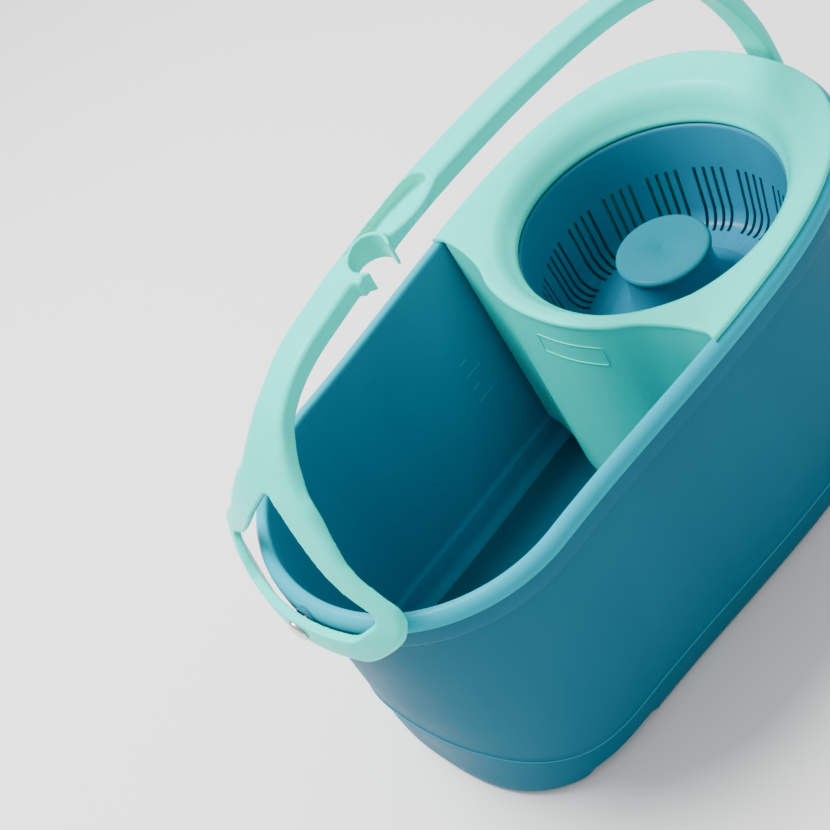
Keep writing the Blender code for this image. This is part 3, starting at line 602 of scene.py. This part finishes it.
# ---------------------------------------------------------------- the insert
INSERT_NOSE = ((125.0, 0.1415), (131.9, 0.1264), (142.3, 0.1160), (153.1, 0.1150),
               (162.6, 0.1140), (180.0, 0.1130))
NOSE_CURVE = spline(INSERT_NOSE, 12)
INSERT_STEPS = 400
INSERT_LOW_Z = 0.036


def insert_nose_radius(degrees):
    for (a, ra), (b, rb) in zip(NOSE_CURVE, NOSE_CURVE[1:]):
        if degrees <= b:
            return ra + (rb - ra) * (degrees - a) / (b - a)
    return INSERT_NOSE[-1][1]


RIDGE_X = -0.0825           # where the front wall's ridge takes its height from the rim
WALL_DRAFT = 0.006          # of the front wall's nose; the draft grows towards its flanks
DRAFT_GROWTH = 0.12
LIP_INSIDE = 0.0012         # the skirt hangs inside the tub's mouth by this
LIP_OUTSIDE = 0.0055        # and the lip covers its rim by this


def nose_draft(skirt):
    return WALL_DRAFT + (skirt - INSERT_NOSE[-1][1]) * DRAFT_GROWTH


def nose_wall_radius(degrees, z):
    """Outer face of the insert's front wall at a height."""
    skirt = insert_nose_radius(degrees)
    under = rim_z(RIDGE_X) + GAP
    return skirt - nose_draft(skirt) * (under - z) / (under - INSERT_LOW_Z)


def make_insert():
    """Deck, funnel, well and front wall, with a soft ridge round the deck."""
    inner_line = offset_outline(MOUTH, -LIP_INSIDE)
    lip_line = offset_outline(MOUTH, LIP_OUTSIDE)
    rings = []
    for i in range(INSERT_STEPS):
        angle = math.tau * (i + 0.5) / INSERT_STEPS
        degrees = math.degrees(angle)
        from_rear = degrees if degrees <= 180.0 else 360.0 - degrees
        if from_rear > INSERT_NOSE[0][0]:
            skirt = insert_nose_radius(from_rear)
            lip = skirt + 0.0008
            skirt_z = INSERT_LOW_Z
            draft = nose_draft(skirt)
            under = rim_z(RIDGE_X) + GAP
        else:
            skirt = mouth_radius(angle, inner_line)
            lip = mouth_radius(angle, lip_line)
            skirt_z = rim_z(skirt * math.cos(angle)) - 0.016
            draft = 0.0006
            under = rim_z(lip * math.cos(angle)) + GAP
        deck = under + 0.0018
        profile = [
            (skirt - draft, skirt_z), (skirt - draft * 0.66, skirt_z + (under - skirt_z) * 0.34),
            (skirt - draft * 0.33, skirt_z + (under - skirt_z) * 0.67), (skirt, under),
            (lip, under), (lip, under + 0.0010), (lip - 0.0002, under + 0.0019),
            (lip - 0.0008, under + 0.0026), (lip - 0.0017, under + 0.0030),
            (lip - 0.0030, under + 0.0031), (skirt - 0.0045, deck + 0.0008),
            ((skirt - 0.0045) * 0.5 + 0.0525, deck - 0.0004), (0.1050, deck - 0.0013),
            (0.1035, deck - 0.0020), (0.1020, deck - 0.0030), (0.1003, deck - 0.0045),
            (0.0978, deck - 0.0072), (0.0950, deck * 0.5 + OPENING_Z * 0.5 - 0.0030),
            (0.0930, OPENING_Z + 0.0034), (0.0920, OPENING_Z + 0.0018), (0.0916, OPENING_Z + 0.0004),
            (0.0916, OPENING_Z - 0.0010), (0.0922, OPENING_Z - 0.0022), (WELL_R, OPENING_Z - 0.0030),
            (WELL_R, WELL_BOTTOM_Z), (WELL_R + 0.0025, WELL_BOTTOM_Z), (WELL_R + 0.0025, OPENING_Z - 0.0020),
            (0.1020, deck - 0.0060), (skirt - 0.0035, under - 0.0020), (skirt - draft - 0.0025, skirt_z),
        ]
        rings.append([(r * math.cos(angle) + AXIS_X, r * math.sin(angle), z) for r, z in profile])
    shape = bmesh.new()
    add_loft(shape, rings, looped=True)
    for i in range(4):
        turn = Matrix.Rotation(math.radians(45.0 + 90.0 * i), 4, "Z")
        place = Matrix.Translation((AXIS_X, 0.0, 0.0)) @ turn @ Matrix.Translation(
            (SCREW_R, 0.0, WELL_BOTTOM_Z + 0.005)) @ Matrix.Diagonal((0.014, 0.014, 0.010, 1.0))
        lug = bmesh.ops.create_cube(shape, size=1.0)["verts"]
        bmesh.ops.transform(shape, matrix=place, verts=lug)
    insert = new_object("insert_moulding", shape, 42.0)
    dress(insert, "bucket", "insert_plastic", ["spinner_insert"], MINT_PLASTIC)


def tube(shape, path, radius, sides=8, closed=False):
    """Round ridge along a path."""
    rings = []
    for i, point in enumerate(path):
        before = path[i - 1] if i or closed else point
        after = path[(i + 1) % len(path)] if i < len(path) - 1 or closed else point
        along = (after - before).normalized()
        across = along.orthogonal().normalized()
        if rings:
            across = (frame_across - along * along.dot(frame_across)).normalized()
        frame_across = across
        third = along.cross(across)
        rings.append([point + (across * math.cos(math.tau * k / sides) + third * math.sin(math.tau * k / sides))
                      * radius for k in range(sides)])
    add_loft(shape, rings, looped=closed)


BADGE_ANGLE = 171.0         # middle of the frame on the front wall, off the +X axis
BADGE_HALF = 13.0           # half its spread
BADGE_DROP = 0.0180         # top of the frame below the ridge
BADGE_HEIGHT = 0.0165
BADGE_ROUND = 0.0020
BADGE_RIDGE = 0.0005
BADGE_RADIUS = 0.112        # mean radius of the wall there
BADGE_PITCH = 0.003         # between points of the ridge


def make_badge_frame():
    """Plain rounded frame raised on the insert's front wall."""
    top = rim_z(RIDGE_X) - BADGE_DROP
    half_width = math.radians(BADGE_HALF) * BADGE_RADIUS
    corners = []
    for cx, cz, start in ((half_width - BADGE_ROUND, -BADGE_ROUND, 0.0),
                          (-half_width + BADGE_ROUND, -BADGE_ROUND, 90.0),
                          (-half_width + BADGE_ROUND, BADGE_ROUND - BADGE_HEIGHT, 180.0),
                          (half_width - BADGE_ROUND, BADGE_ROUND - BADGE_HEIGHT, 270.0)):
        corners += arc(cx, cz, BADGE_ROUND, start, start + 90.0, 4)
    path = []
    for (ax, az), (bx, bz) in zip(corners, corners[1:] + corners[:1]):
        pieces = max(1, int(math.hypot(bx - ax, bz - az) / BADGE_PITCH))
        for k in range(pieces):
            along = ax + (bx - ax) * k / pieces
            z = top + az + (bz - az) * k / pieces
            degrees = BADGE_ANGLE + math.degrees(along / BADGE_RADIUS)
            radius = nose_wall_radius(min(degrees, 360.0 - degrees), z)
            turn = -math.radians(degrees)
            path.append(Vector((AXIS_X + radius * math.cos(turn), radius * math.sin(turn), z)))
    shape = bmesh.new()
    tube(shape, path, BADGE_RIDGE, closed=True)
    dress(new_object("insert_badge_frame", shape), "bucket", "insert_plastic", [], MINT_PLASTIC)


FILL_MARK_X = -0.1180       # from the basket's axis
FILL_MARK_Z = OPENING_Z - 0.1160
FILL_MARK_R = 0.0005
TUB_DRAFT = 0.0026          # the side wall leans in by this from the rim to the step
FILL_MARKS = ((0.0, 0.0160), (0.0130, 0.0070), (0.0260, 0.0160), (0.0390, 0.0070))


def make_fill_marks():
    """Plain ridges on the far inside wall that show how full the tub is."""
    shape = bmesh.new()
    for rise, length in FILL_MARKS:
        z = FILL_MARK_Z + rise
        path = []
        for k in range(5):
            x = FILL_MARK_X + length * k / 4
            share = (rim_z(x) - z) / (rim_z(x) - STEP_Z)
            path.append(Vector((x + AXIS_X, side_half_width(x) - TUB_DRAFT * share, z)))
        tube(shape, path, FILL_MARK_R)
    # the ridges take the painted lit teal, a painted highlight that makes them stand out
    dress(new_object("tub_fill_marks", shape), "bucket", "tub_plastic", [], PAINTED_LIT_PLASTIC)


STEP_BEAD_OUT = 0.0008      # centre of the bead, outwards from the wall
STEP_BEAD_R = 0.0006


def make_step_bead():
    """Fine bead along the edge where the tub steps in to its foot."""
    outline = offset_outline(STEP_OUTLINE, STEP_BEAD_OUT)
    shape = bmesh.new()
    tube(shape, [Vector((x + AXIS_X, y, STEP_Z + STEP_BEAD_R + step_climb(mx)))
                 for (x, y), (mx, _) in zip(outline, MOUTH)], STEP_BEAD_R, closed=True)
    # the bead takes the painted lighter teal, a painted highlight line along the step
    dress(new_object("tub_step_bead", shape), "bucket", "tub_plastic", [], PAINTED_LIGHTER_PLASTIC)


# ---------------------------------------------------------------- the spinning group
def make_basket():
    """Slotted bowl with a rolled lip, a floor fillet and its hub tube."""
    profile = [
        (0.0935, OPENING_Z - 0.0042), (0.0935, OPENING_Z - 0.0060), (0.0931, OPENING_Z - 0.0065),
        (0.0921, OPENING_Z - 0.0068), (0.0915, OPENING_Z - 0.0074), (0.0898, SLOT_TOP_Z),
        (0.0862, FLOOR_Z + 0.0090), (0.0850, FLOOR_Z + 0.0048), (0.0832, FLOOR_Z + 0.0014),
        (0.0806, FLOOR_Z - 0.0010), (0.0770, FLOOR_Z - 0.0022), (0.0122, FLOOR_Z - 0.0022),
        (0.0122, HUB_LOW_Z), (BUSH_R + FIT_GAP, HUB_LOW_Z), (BUSH_R + FIT_GAP, HUB_TOP_Z),
        (0.0092, HUB_TOP_Z), (0.0092, FLOOR_Z), (0.0740, FLOOR_Z), (0.0768, FLOOR_Z + 0.0008),
        (0.0790, FLOOR_Z + 0.0024), (0.0812, FLOOR_Z + 0.0050), (0.0828, FLOOR_Z + 0.0080),
        (0.0838, FLOOR_Z + 0.0110), (0.0877, SLOT_TOP_Z), (0.0903, OPENING_Z - 0.0060),
        (0.0906, OPENING_Z - 0.0046), (0.0911, OPENING_Z - 0.0039), (0.0918, OPENING_Z - 0.0036),
        (0.0928, OPENING_Z - 0.0036),
    ]
    bowl = turned("basket_moulding", profile)
    slots = bmesh.new()
    low = FLOOR_Z - 0.0060
    for group in range(SLOT_GROUPS):
        for k in range(SLOTS_PER_GROUP):
            degrees = SLOT_PHASE_DEG + 360.0 / SLOT_GROUPS * group
            degrees += SLOT_PITCH_DEG * (k - (SLOTS_PER_GROUP - 1) / 2)
            cell = bmesh.ops.create_cube(slots, size=1.0)["verts"]
            size = (0.0260, SLOT_WIDTH, SLOT_TOP_Z - low)
            place = (Matrix.Translation((AXIS_X, 0.0, 0.0)) @ Matrix.Rotation(math.radians(degrees), 4, "Z")
                     @ Matrix.Translation((0.0710 + size[0] / 2, 0.0, (SLOT_TOP_Z + low) / 2))
                     @ Matrix.Diagonal((*size, 1.0)))
            bmesh.ops.transform(slots, matrix=place, verts=cell)
    carve(bowl, new_object("slot_tools", slots))
    bowl.data.set_sharp_from_angle(angle=math.radians(40.0))
    dress(bowl, "basket", "basket_plastic", ["spin_basket"], BASKET_PLASTIC)


def make_post():
    top = POST_TOP_Z - 0.0050
    profile = [
        (0.0310, top), (0.0309, FLOOR_Z + 0.0420), (0.0312, FLOOR_Z + 0.0330), (0.0320, FLOOR_Z + 0.0250),
        (0.0333, FLOOR_Z + 0.0185), (0.0355, FLOOR_Z + 0.0128), (0.0385, FLOOR_Z + 0.0083),
        (0.0425, FLOOR_Z + 0.0050), (0.0480, FLOOR_Z + 0.0029), (0.0532, FLOOR_Z + 0.0019),
        (0.0540, FLOOR_Z + 0.0012), (0.0540, FLOOR_Z + GAP), (0.0505, FLOOR_Z + GAP),
        (0.0400, FLOOR_Z + 0.0028), (0.0320, FLOOR_Z + 0.0140), (0.0286, FLOOR_Z + 0.0335), (0.0284, top),
    ]
    dress(turned("post_moulding", profile), "basket", "basket_plastic", ["basket_post"], BASKET_PLASTIC)


def make_post_cap():
    """Flat lid with a rolled edge, a shallow ring and a tiny mark at its gate."""
    low = POST_TOP_Z - 0.0050 + GAP
    profile = [
        (0.0, POST_TOP_Z - 0.0002), (0.0006, POST_TOP_Z - 0.0003), (0.0010, POST_TOP_Z), (0.0292, POST_TOP_Z),
        *arc(0.0304, POST_TOP_Z - 0.0028, 0.0028, 90.0, 0.0, 8), (0.0328, low), (0.0281, low),
        (0.0281, low - 0.0060), (0.0262, low - 0.0060), (0.0262, low + 0.0018), (0.0, low + 0.0018),
    ]
    dress(turned("cap_moulding", profile), "basket", "cap_plastic", ["post_cap"], CAP_PLASTIC)


# ---------------------------------------------------------------- the carrying bail
def bail_bow(z):
    low = LEG_BOW + (UPPER_BOW - LEG_BOW) * smoothstep((z + 0.004) / 0.040)
    return low * (1.0 - smoothstep((z - 0.100) / 0.030))


def back_flare(z):
    """The stem's back edge stands a little wider than its front edge where it meets the stirrup."""
    return 0.0028 * smoothstep((z - 0.066) / 0.018) * (1.0 - smoothstep((z - 0.106) / 0.026))


def bail_section(thick):
    """Half section: share of the half width, inset, depth, from the back edge to the front's middle."""
    back = [(1.0, 0.0018, thick), (1.0, 0.0008, thick - 0.0003), (1.0, 0.0002, thick - 0.0010),
            (1.0, 0.0, thick - 0.0020)]
    front = [(1.0, 0.0, 0.0030), (1.0, 0.0003, 0.0019), (1.0, 0.0010, 0.0009), (1.0, 0.0021, 0.0003),
             (1.0, 0.0035, 0.0)]
    return back + front + [(share, 0.0, 0.0) for share in (0.80, 0.60, 0.40, 0.20)]


BACK_SHARES = (-0.85, -0.70, -0.55, -0.40, -0.28, -0.14, 0.0, 0.14, 0.28, 0.40, 0.55, 0.70, 0.85)


def make_bail():
    """Bar and legs of the stirrup, stem, grip and rear arm as one sweep."""
    line = spline(BAIL_LINE, BAIL_STEPS)
    rings = []
    for i, (x, z, half, thick) in enumerate(line):
        ax, az = line[max(i - 1, 0)][:2]
        bx, bz = line[min(i + 1, len(line) - 1)][:2]
        length = math.hypot(bx - ax, bz - az)
        leaning = smoothstep((z - 0.075) / 0.040) if x < 0.0 else 1.0
        inward = Vector((1.0, 0.0, 0.0)).lerp(Vector(((bz - az) / length, 0.0, -(bx - ax) / length)),
                                              leaning).normalized()
        face = Vector((x + AXIS_X, 0.0, z + OPENING_Z))
        bow = bail_bow(z) if x < 0.0 else 0.0
        flare = back_flare(z) if x < 0.0 else 0.0
        right = bail_section(thick)
        left = [(-share, inset, depth) for share, inset, depth in reversed(right)]
        section = right + [(0.0, 0.0, 0.0)] + left + [(share, 0.0, thick) for share in BACK_SHARES]
        ring = []
        for share, inset, depth in section:
            y = share * (half - inset + flare * depth / thick)
            ring.append(face + inward * depth + Vector((bow * y * y, y, 0.0)))
        rings.append(ring)
    shape = bmesh.new()
    add_loft(shape, rings)
    return new_object("bail_moulding", shape)


def hole_tool():
    outline = list(STIRRUP_HOLE) + [(-y, z) for y, z in reversed(STIRRUP_HOLE[1:-1])]
    outline = spline(outline + outline[:1], 3)[:-1]
    shape = bmesh.new()
    add_loft(shape, [[(x + AXIS_X, y, z + OPENING_Z) for y, z in outline] for x in (-0.375, -0.295)])
    return new_object("hole_tool", shape)


def cylinder_tool(name, radius, length, centre, axis="Z"):
    turn = Matrix.Rotation(math.pi / 2, 4, "Y") if axis == "X" else Matrix.Identity(4)
    profile = [(0.0, -length / 2), (radius, -length / 2), (radius, length / 2), (0.0, length / 2)]
    return turned(name, profile, Matrix.Translation(centre) @ turn, 96)


def bail_top(x):
    """Height of the bail's upper face over a place on its line, above the basket's mouth."""
    for (ax, az, *_), (bx, bz, *_) in zip(BAIL_LINE, BAIL_LINE[1:]):
        if ax <= x <= bx:
            return az + (bz - az) * (x - ax) / (bx - ax)
    return BAIL_LINE[0][1]


CHANNEL_FROM = -0.2020      # open trough beside and behind the stick notch, from the basket's axis
CHANNEL_TO = -0.1360
CHANNEL_DEEP = 0.0078
WING_FROM = -0.1870
WING_TO = -0.1300
WING_OUT = 0.0058


def channel_tool():
    """Trough cut from above: narrow beside the notch, then as wide as the bail, round at its end."""
    rings = []
    for k in range(25):
        share = k / 24
        x = CHANNEL_FROM + (CHANNEL_TO - CHANNEL_FROM) * share
        top = bail_top(x)
        end = math.sqrt(max(1.0 - share ** 8, 0.004))
        bulge = 0.0040 * math.sin(math.pi * min(max((x - WING_FROM) / (WING_TO - WING_FROM), 0.0), 1.0))
        near, far = -(0.0074 + bulge) * end, 0.0101 * end
        floor = top - CHANNEL_DEEP * smoothstep((x - CHANNEL_FROM) / 0.006)
        rings.append([Vector((x + AXIS_X, y, z + OPENING_Z)) for y, z in (
            (near, top + 0.010), (near, floor + 0.0012), (near + 0.0012, floor), (far - 0.0012, floor),
            (far, floor + 0.0012), (far, top + 0.010))])
    shape = bmesh.new()
    add_loft(shape, rings)
    return new_object("channel_tool", shape)


def wing_tool():
    """Near flange that swells out beside the trough."""
    rings = []
    for k in range(21):
        share = k / 20
        x = WING_FROM + (WING_TO - WING_FROM) * share
        top = bail_top(x)
        out = 0.0100 + (WING_OUT + 0.0018) * math.sin(math.pi * share ** 0.9) ** 1.2
        rings.append([Vector((x + AXIS_X, y, z + OPENING_Z)) for y, z in (
            (-0.0060, top - 0.0105), (-0.0060, top - 0.0002), (-out + 0.0012, top), (-out, top - 0.0012),
            (-out, top - 0.0034), (-out + 0.0016, top - 0.0060), (-0.0100, top - 0.0105))])
    shape = bmesh.new()
    add_loft(shape, rings)
    return new_object("wing_tool", shape)


def fin_tool(name, x_low, x_high, z_low, z_high, tip_low, lean):
    """Upright lug beside the notch's mouth, thinner at its tip."""
    rings = []
    for y, grow in ((-0.0085, 0.0), (-0.0125, 0.1), (-0.0152, 0.5), (-0.0166, 1.0)):
        middle, half = (x_low + x_high) / 2 + lean * grow, (x_high - x_low) / 2 * (1.0 - 0.35 * grow)
        low = z_low + (tip_low - z_low) * grow
        rings.append([Vector((x + AXIS_X, y, z + OPENING_Z)) for x, z in (
            (middle - half, low), (middle + half, low), (middle + half, z_high - 0.0010 * grow),
            (middle - half, z_high - 0.0010 * grow))])
    shape = bmesh.new()
    add_loft(shape, rings)
    return new_object(name, shape)


# lug name, from x, to x, low, high, low at its tip, lean of the tip
FINS = (
    ("rear_fin", -0.1886, -0.1852, 0.1400, 0.1556, 0.1468, 0.0010),
    ("front_fin", -0.2142, -0.2094, 0.1402, 0.1524, 0.1412, -0.0004),
)
EYE_R = 0.0135
CUT_LENGTH = 0.0600         # through the bail, for the notch
BORE_LENGTH = 0.030
NOTCH_MOUTH = (0.0192, 0.0200, CUT_LENGTH)


def collar_top(x):
    """The notch's wall is flush with the stem in front and stands a little proud behind."""
    return bail_top(x) + 0.0003 + 0.0015 * smoothstep((x - STICK_X + 0.006) / 0.014)


def collar_tool():
    """Wall round the stick notch."""
    radius = STICK_R + 0.0024
    rings = [[], []]
    for k in range(72):
        turn = math.tau * k / 72
        x, y = STICK_X + radius * math.cos(turn), STICK_Y + radius * math.sin(turn)
        rings[0].append(Vector((x + AXIS_X, y, NOTCH_TOP - 0.0160 + OPENING_Z)))
        rings[1].append(Vector((x + AXIS_X, y, collar_top(x) + OPENING_Z)))
    shape = bmesh.new()
    add_loft(shape, rings)
    return new_object("collar_tool", shape)


def bead_tool():
    """Thin bead round the top of the notch's wall, fading out in front."""
    shape = bmesh.new()
    path = []
    for k in range(37):
        turn = math.radians(-12.0 + 150.0 * k / 36)
        x = STICK_X + (STICK_R + 0.0014) * math.cos(turn)
        path.append(Vector((x + AXIS_X, STICK_Y + (STICK_R + 0.0014) * math.sin(turn),
                            collar_top(x) - 0.0006 - 0.0010 * smoothstep((k - 26) / 10) + OPENING_Z)))
    tube(shape, path, 0.0016, 10)
    return new_object("bead_tool", shape)


def make_handle():
    """The whole bail in one moulding, its joins softened."""
    bail = make_bail()
    notch_x = STICK_X + AXIS_X
    notch_z = NOTCH_TOP + OPENING_Z
    bore = BUSH_R + FIT_GAP
    joined(bail, [
        cylinder_tool("eye", EYE_R, REAR_EYE_THICK,
                      (REAR_EYE_FACE - REAR_EYE_THICK / 2 + AXIS_X, 0.0, PIVOT_Z), "X"),
        wing_tool(),
    ])
    remesh(bail, FIRST_VOXEL, 0)
    # EXACT fails on the trough: it gives an empty or open mesh
    carve(bail, joined(hole_tool(), [channel_tool()]), "MANIFOLD")
    joined(bail, [
        collar_tool(),
        *[fin_tool(*fin) for fin in FINS],
        bead_tool(),
    ])
    remesh(bail, SECOND_VOXEL, 0)
    carve(bail, cylinder_tool("notch", STICK_R, CUT_LENGTH, (notch_x, STICK_Y, notch_z)))
    carve(bail, joined(solid_box("mouth", NOTCH_MOUTH,
                                 Matrix.Translation((notch_x + 0.0002, STICK_Y - 0.0130, notch_z))), [
        cylinder_tool("front_bore", bore, BORE_LENGTH, (STIRRUP_FRONT + AXIS_X, 0.0, PIVOT_Z), "X"),
        cylinder_tool("rear_bore", bore, BORE_LENGTH, (REAR_EYE_FACE + AXIS_X, 0.0, PIVOT_Z), "X"),
    ]))
    remesh(bail, VOXEL, 4)
    dress(bail, "handle", "handle_plastic", ["carry_handle"], MINT_PLASTIC)


def along_x(sign):
    return Matrix.Translation((AXIS_X, 0.0, PIVOT_Z)) @ Matrix.Rotation(math.pi / 2 * sign, 4, "Y")


def make_pivots():
    """Pins with domed heads, and plain bushes with broken edges."""
    front_inner = -(STIRRUP_FRONT + STIRRUP_THICK)
    ends = (("front", -1.0, front_inner, STIRRUP_THICK, 0.0086),
            ("rear", 1.0, REAR_EYE_FACE - REAR_EYE_THICK, REAR_EYE_THICK, 0.0092))
    for name, sign, inner, thick, root in ends:
        outer = inner + thick
        small = PIN_R + FIT_GAP
        bush = turned(name + "_bush_ring", [
            (small, inner + 0.0003), (small + 0.0003, inner), (BUSH_R - 0.0003, inner), (BUSH_R, inner + 0.0003),
            (BUSH_R, outer - 0.0003), (BUSH_R - 0.0003, outer), (small + 0.0003, outer), (small, outer - 0.0003),
        ], along_x(sign), 64)
        dress(bush, "handle", "bearing_plastic", [name + "_pivot_bush"], BUSH_PLASTIC)
        head = outer + GAP
        pin = turned(name + "_pin_turned", [
            (0.0, inner - root), (PIN_R - 0.0006, inner - root), (PIN_R, inner - root + 0.0006), (PIN_R, head),
            (0.0077, head), (0.0080, head + 0.0003), (0.0079, head + 0.0010), (0.0072, head + 0.0017),
            (0.0058, head + 0.0022), (0.0036, head + 0.0025), (0.0012, head + 0.0026), (0.0, head + 0.0026),
        ], along_x(sign), 64)
        dress(pin, "bucket", "steel", [name + "_pivot_pin"], STEEL_METAL)


# ---------------------------------------------------------------- carried-over CAD pieces
KEPT = {
    "spindle_bracket": BRACKET_PLASTIC, "spindle": STEEL_METAL, "thrust_washer": BUSH_PLASTIC,
    "retaining_washer": STEEL_METAL, "spindle_screw": STEEL_METAL, "upper_bush": BUSH_PLASTIC,
    "lower_bush": BUSH_PLASTIC, "bracket_screw_1": STEEL_METAL, "bracket_screw_2": STEEL_METAL,
    "bracket_screw_3": STEEL_METAL, "bracket_screw_4": STEEL_METAL, "foot_pad_front_near": PAD_RUBBER,
    "foot_pad_front_far": PAD_RUBBER, "foot_pad_rear_near": PAD_RUBBER, "foot_pad_rear_far": PAD_RUBBER,
}


def dress_kept_nodes():
    for name, surface in KEPT.items():
        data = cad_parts[name].data
        data.materials.clear()
        data.materials.append(surface)
        data.shade_smooth()
        data.set_sharp_from_angle(angle=math.radians(35.0))


# ---------------------------------------------------------------- studio
def make_floor():
    nodes = Nodes("studio_floor")
    mottle = nodes.span(nodes.noise(3.0, 3.0), 0.3, 0.7, 0.0, 1.0)
    nodes.link(nodes.blend(mottle, PAPER, tinted(PAPER, 0.985)), nodes.shader.inputs["Base Color"])
    nodes.shader.inputs["Roughness"].default_value = FLOOR_ROUGH
    shape = bmesh.new()
    bmesh.ops.create_grid(shape, x_segments=8, y_segments=8, size=FLOOR_HALF)
    floor = new_object("studio_floor", shape)
    floor.data.materials.append(nodes.material)


# place, diameter, watts
KEY_LIGHT = ((-0.45, 0.65, 1.70), 0.8, 72.0)
BACK_LIGHT = ((1.2, 1.2, 1.0), 1.2, 8.0)
LIT_PLACE = (AXIS_X - 0.10, 0.0, 0.16)
WORLD_STRENGTH = 0.80
FLOOR_HALF = 4.0
FLOOR_ROUGH = 0.9


def add_area(name, place, size, power):
    """Round soft light aimed at the middle of the bucket."""
    lamp = bpy.data.lights.new(name, "AREA")
    lamp.shape = "DISK"
    lamp.size = size
    lamp.energy = power
    obj = bpy.data.objects.new(name, lamp)
    bpy.context.scene.collection.objects.link(obj)
    obj.location = place
    obj.rotation_euler = (Vector(LIT_PLACE) - Vector(place)).to_track_quat("-Z", "Y").to_euler()


# camera place and axes, from the basket's axis and mouth
CAMERA_FROM_AXIS = (-0.51321, -0.66433, 0.68782)
CAMERA_RIGHT = (0.6386, -0.6643, -0.3885)
CAMERA_UP = (0.7079, 0.3092, 0.6350)
CAMERA_LENS = 70.29
SENSOR = 36.0


def make_camera():
    data = bpy.data.cameras.new("photo_camera")
    data.lens = CAMERA_LENS
    data.sensor_width = SENSOR
    data.clip_start = 0.01
    data.clip_end = 50.0
    camera = bpy.data.objects.new("photo_camera", data)
    bpy.context.scene.collection.objects.link(camera)
    right = Vector(CAMERA_RIGHT).normalized()
    up = Vector(CAMERA_UP)
    up = (up - right * right.dot(up)).normalized()
    back = right.cross(up)
    turn = Matrix((right, up, back)).transposed().to_4x4()
    camera.matrix_world = Matrix.Translation(Vector(CAMERA_FROM_AXIS) + Vector((AXIS_X, 0.0, OPENING_Z))) @ turn
    bpy.context.scene.camera = camera


def make_world():
    world = bpy.data.worlds.new("studio")
    world.use_nodes = True
    sky = world.node_tree.nodes["Background"]
    sky.inputs["Color"].default_value = (1.0, 1.0, 1.0, 1.0)
    sky.inputs["Strength"].default_value = WORLD_STRENGTH
    bpy.context.scene.world = world


make_tub()
make_insert()
make_badge_frame()
make_fill_marks()
make_step_bead()
make_basket()
make_post()
make_post_cap()
make_handle()
make_pivots()
dress_kept_nodes()
make_floor()
add_area("key_light", *KEY_LIGHT)
add_area("back_light", *BACK_LIGHT)
make_camera()
make_world()
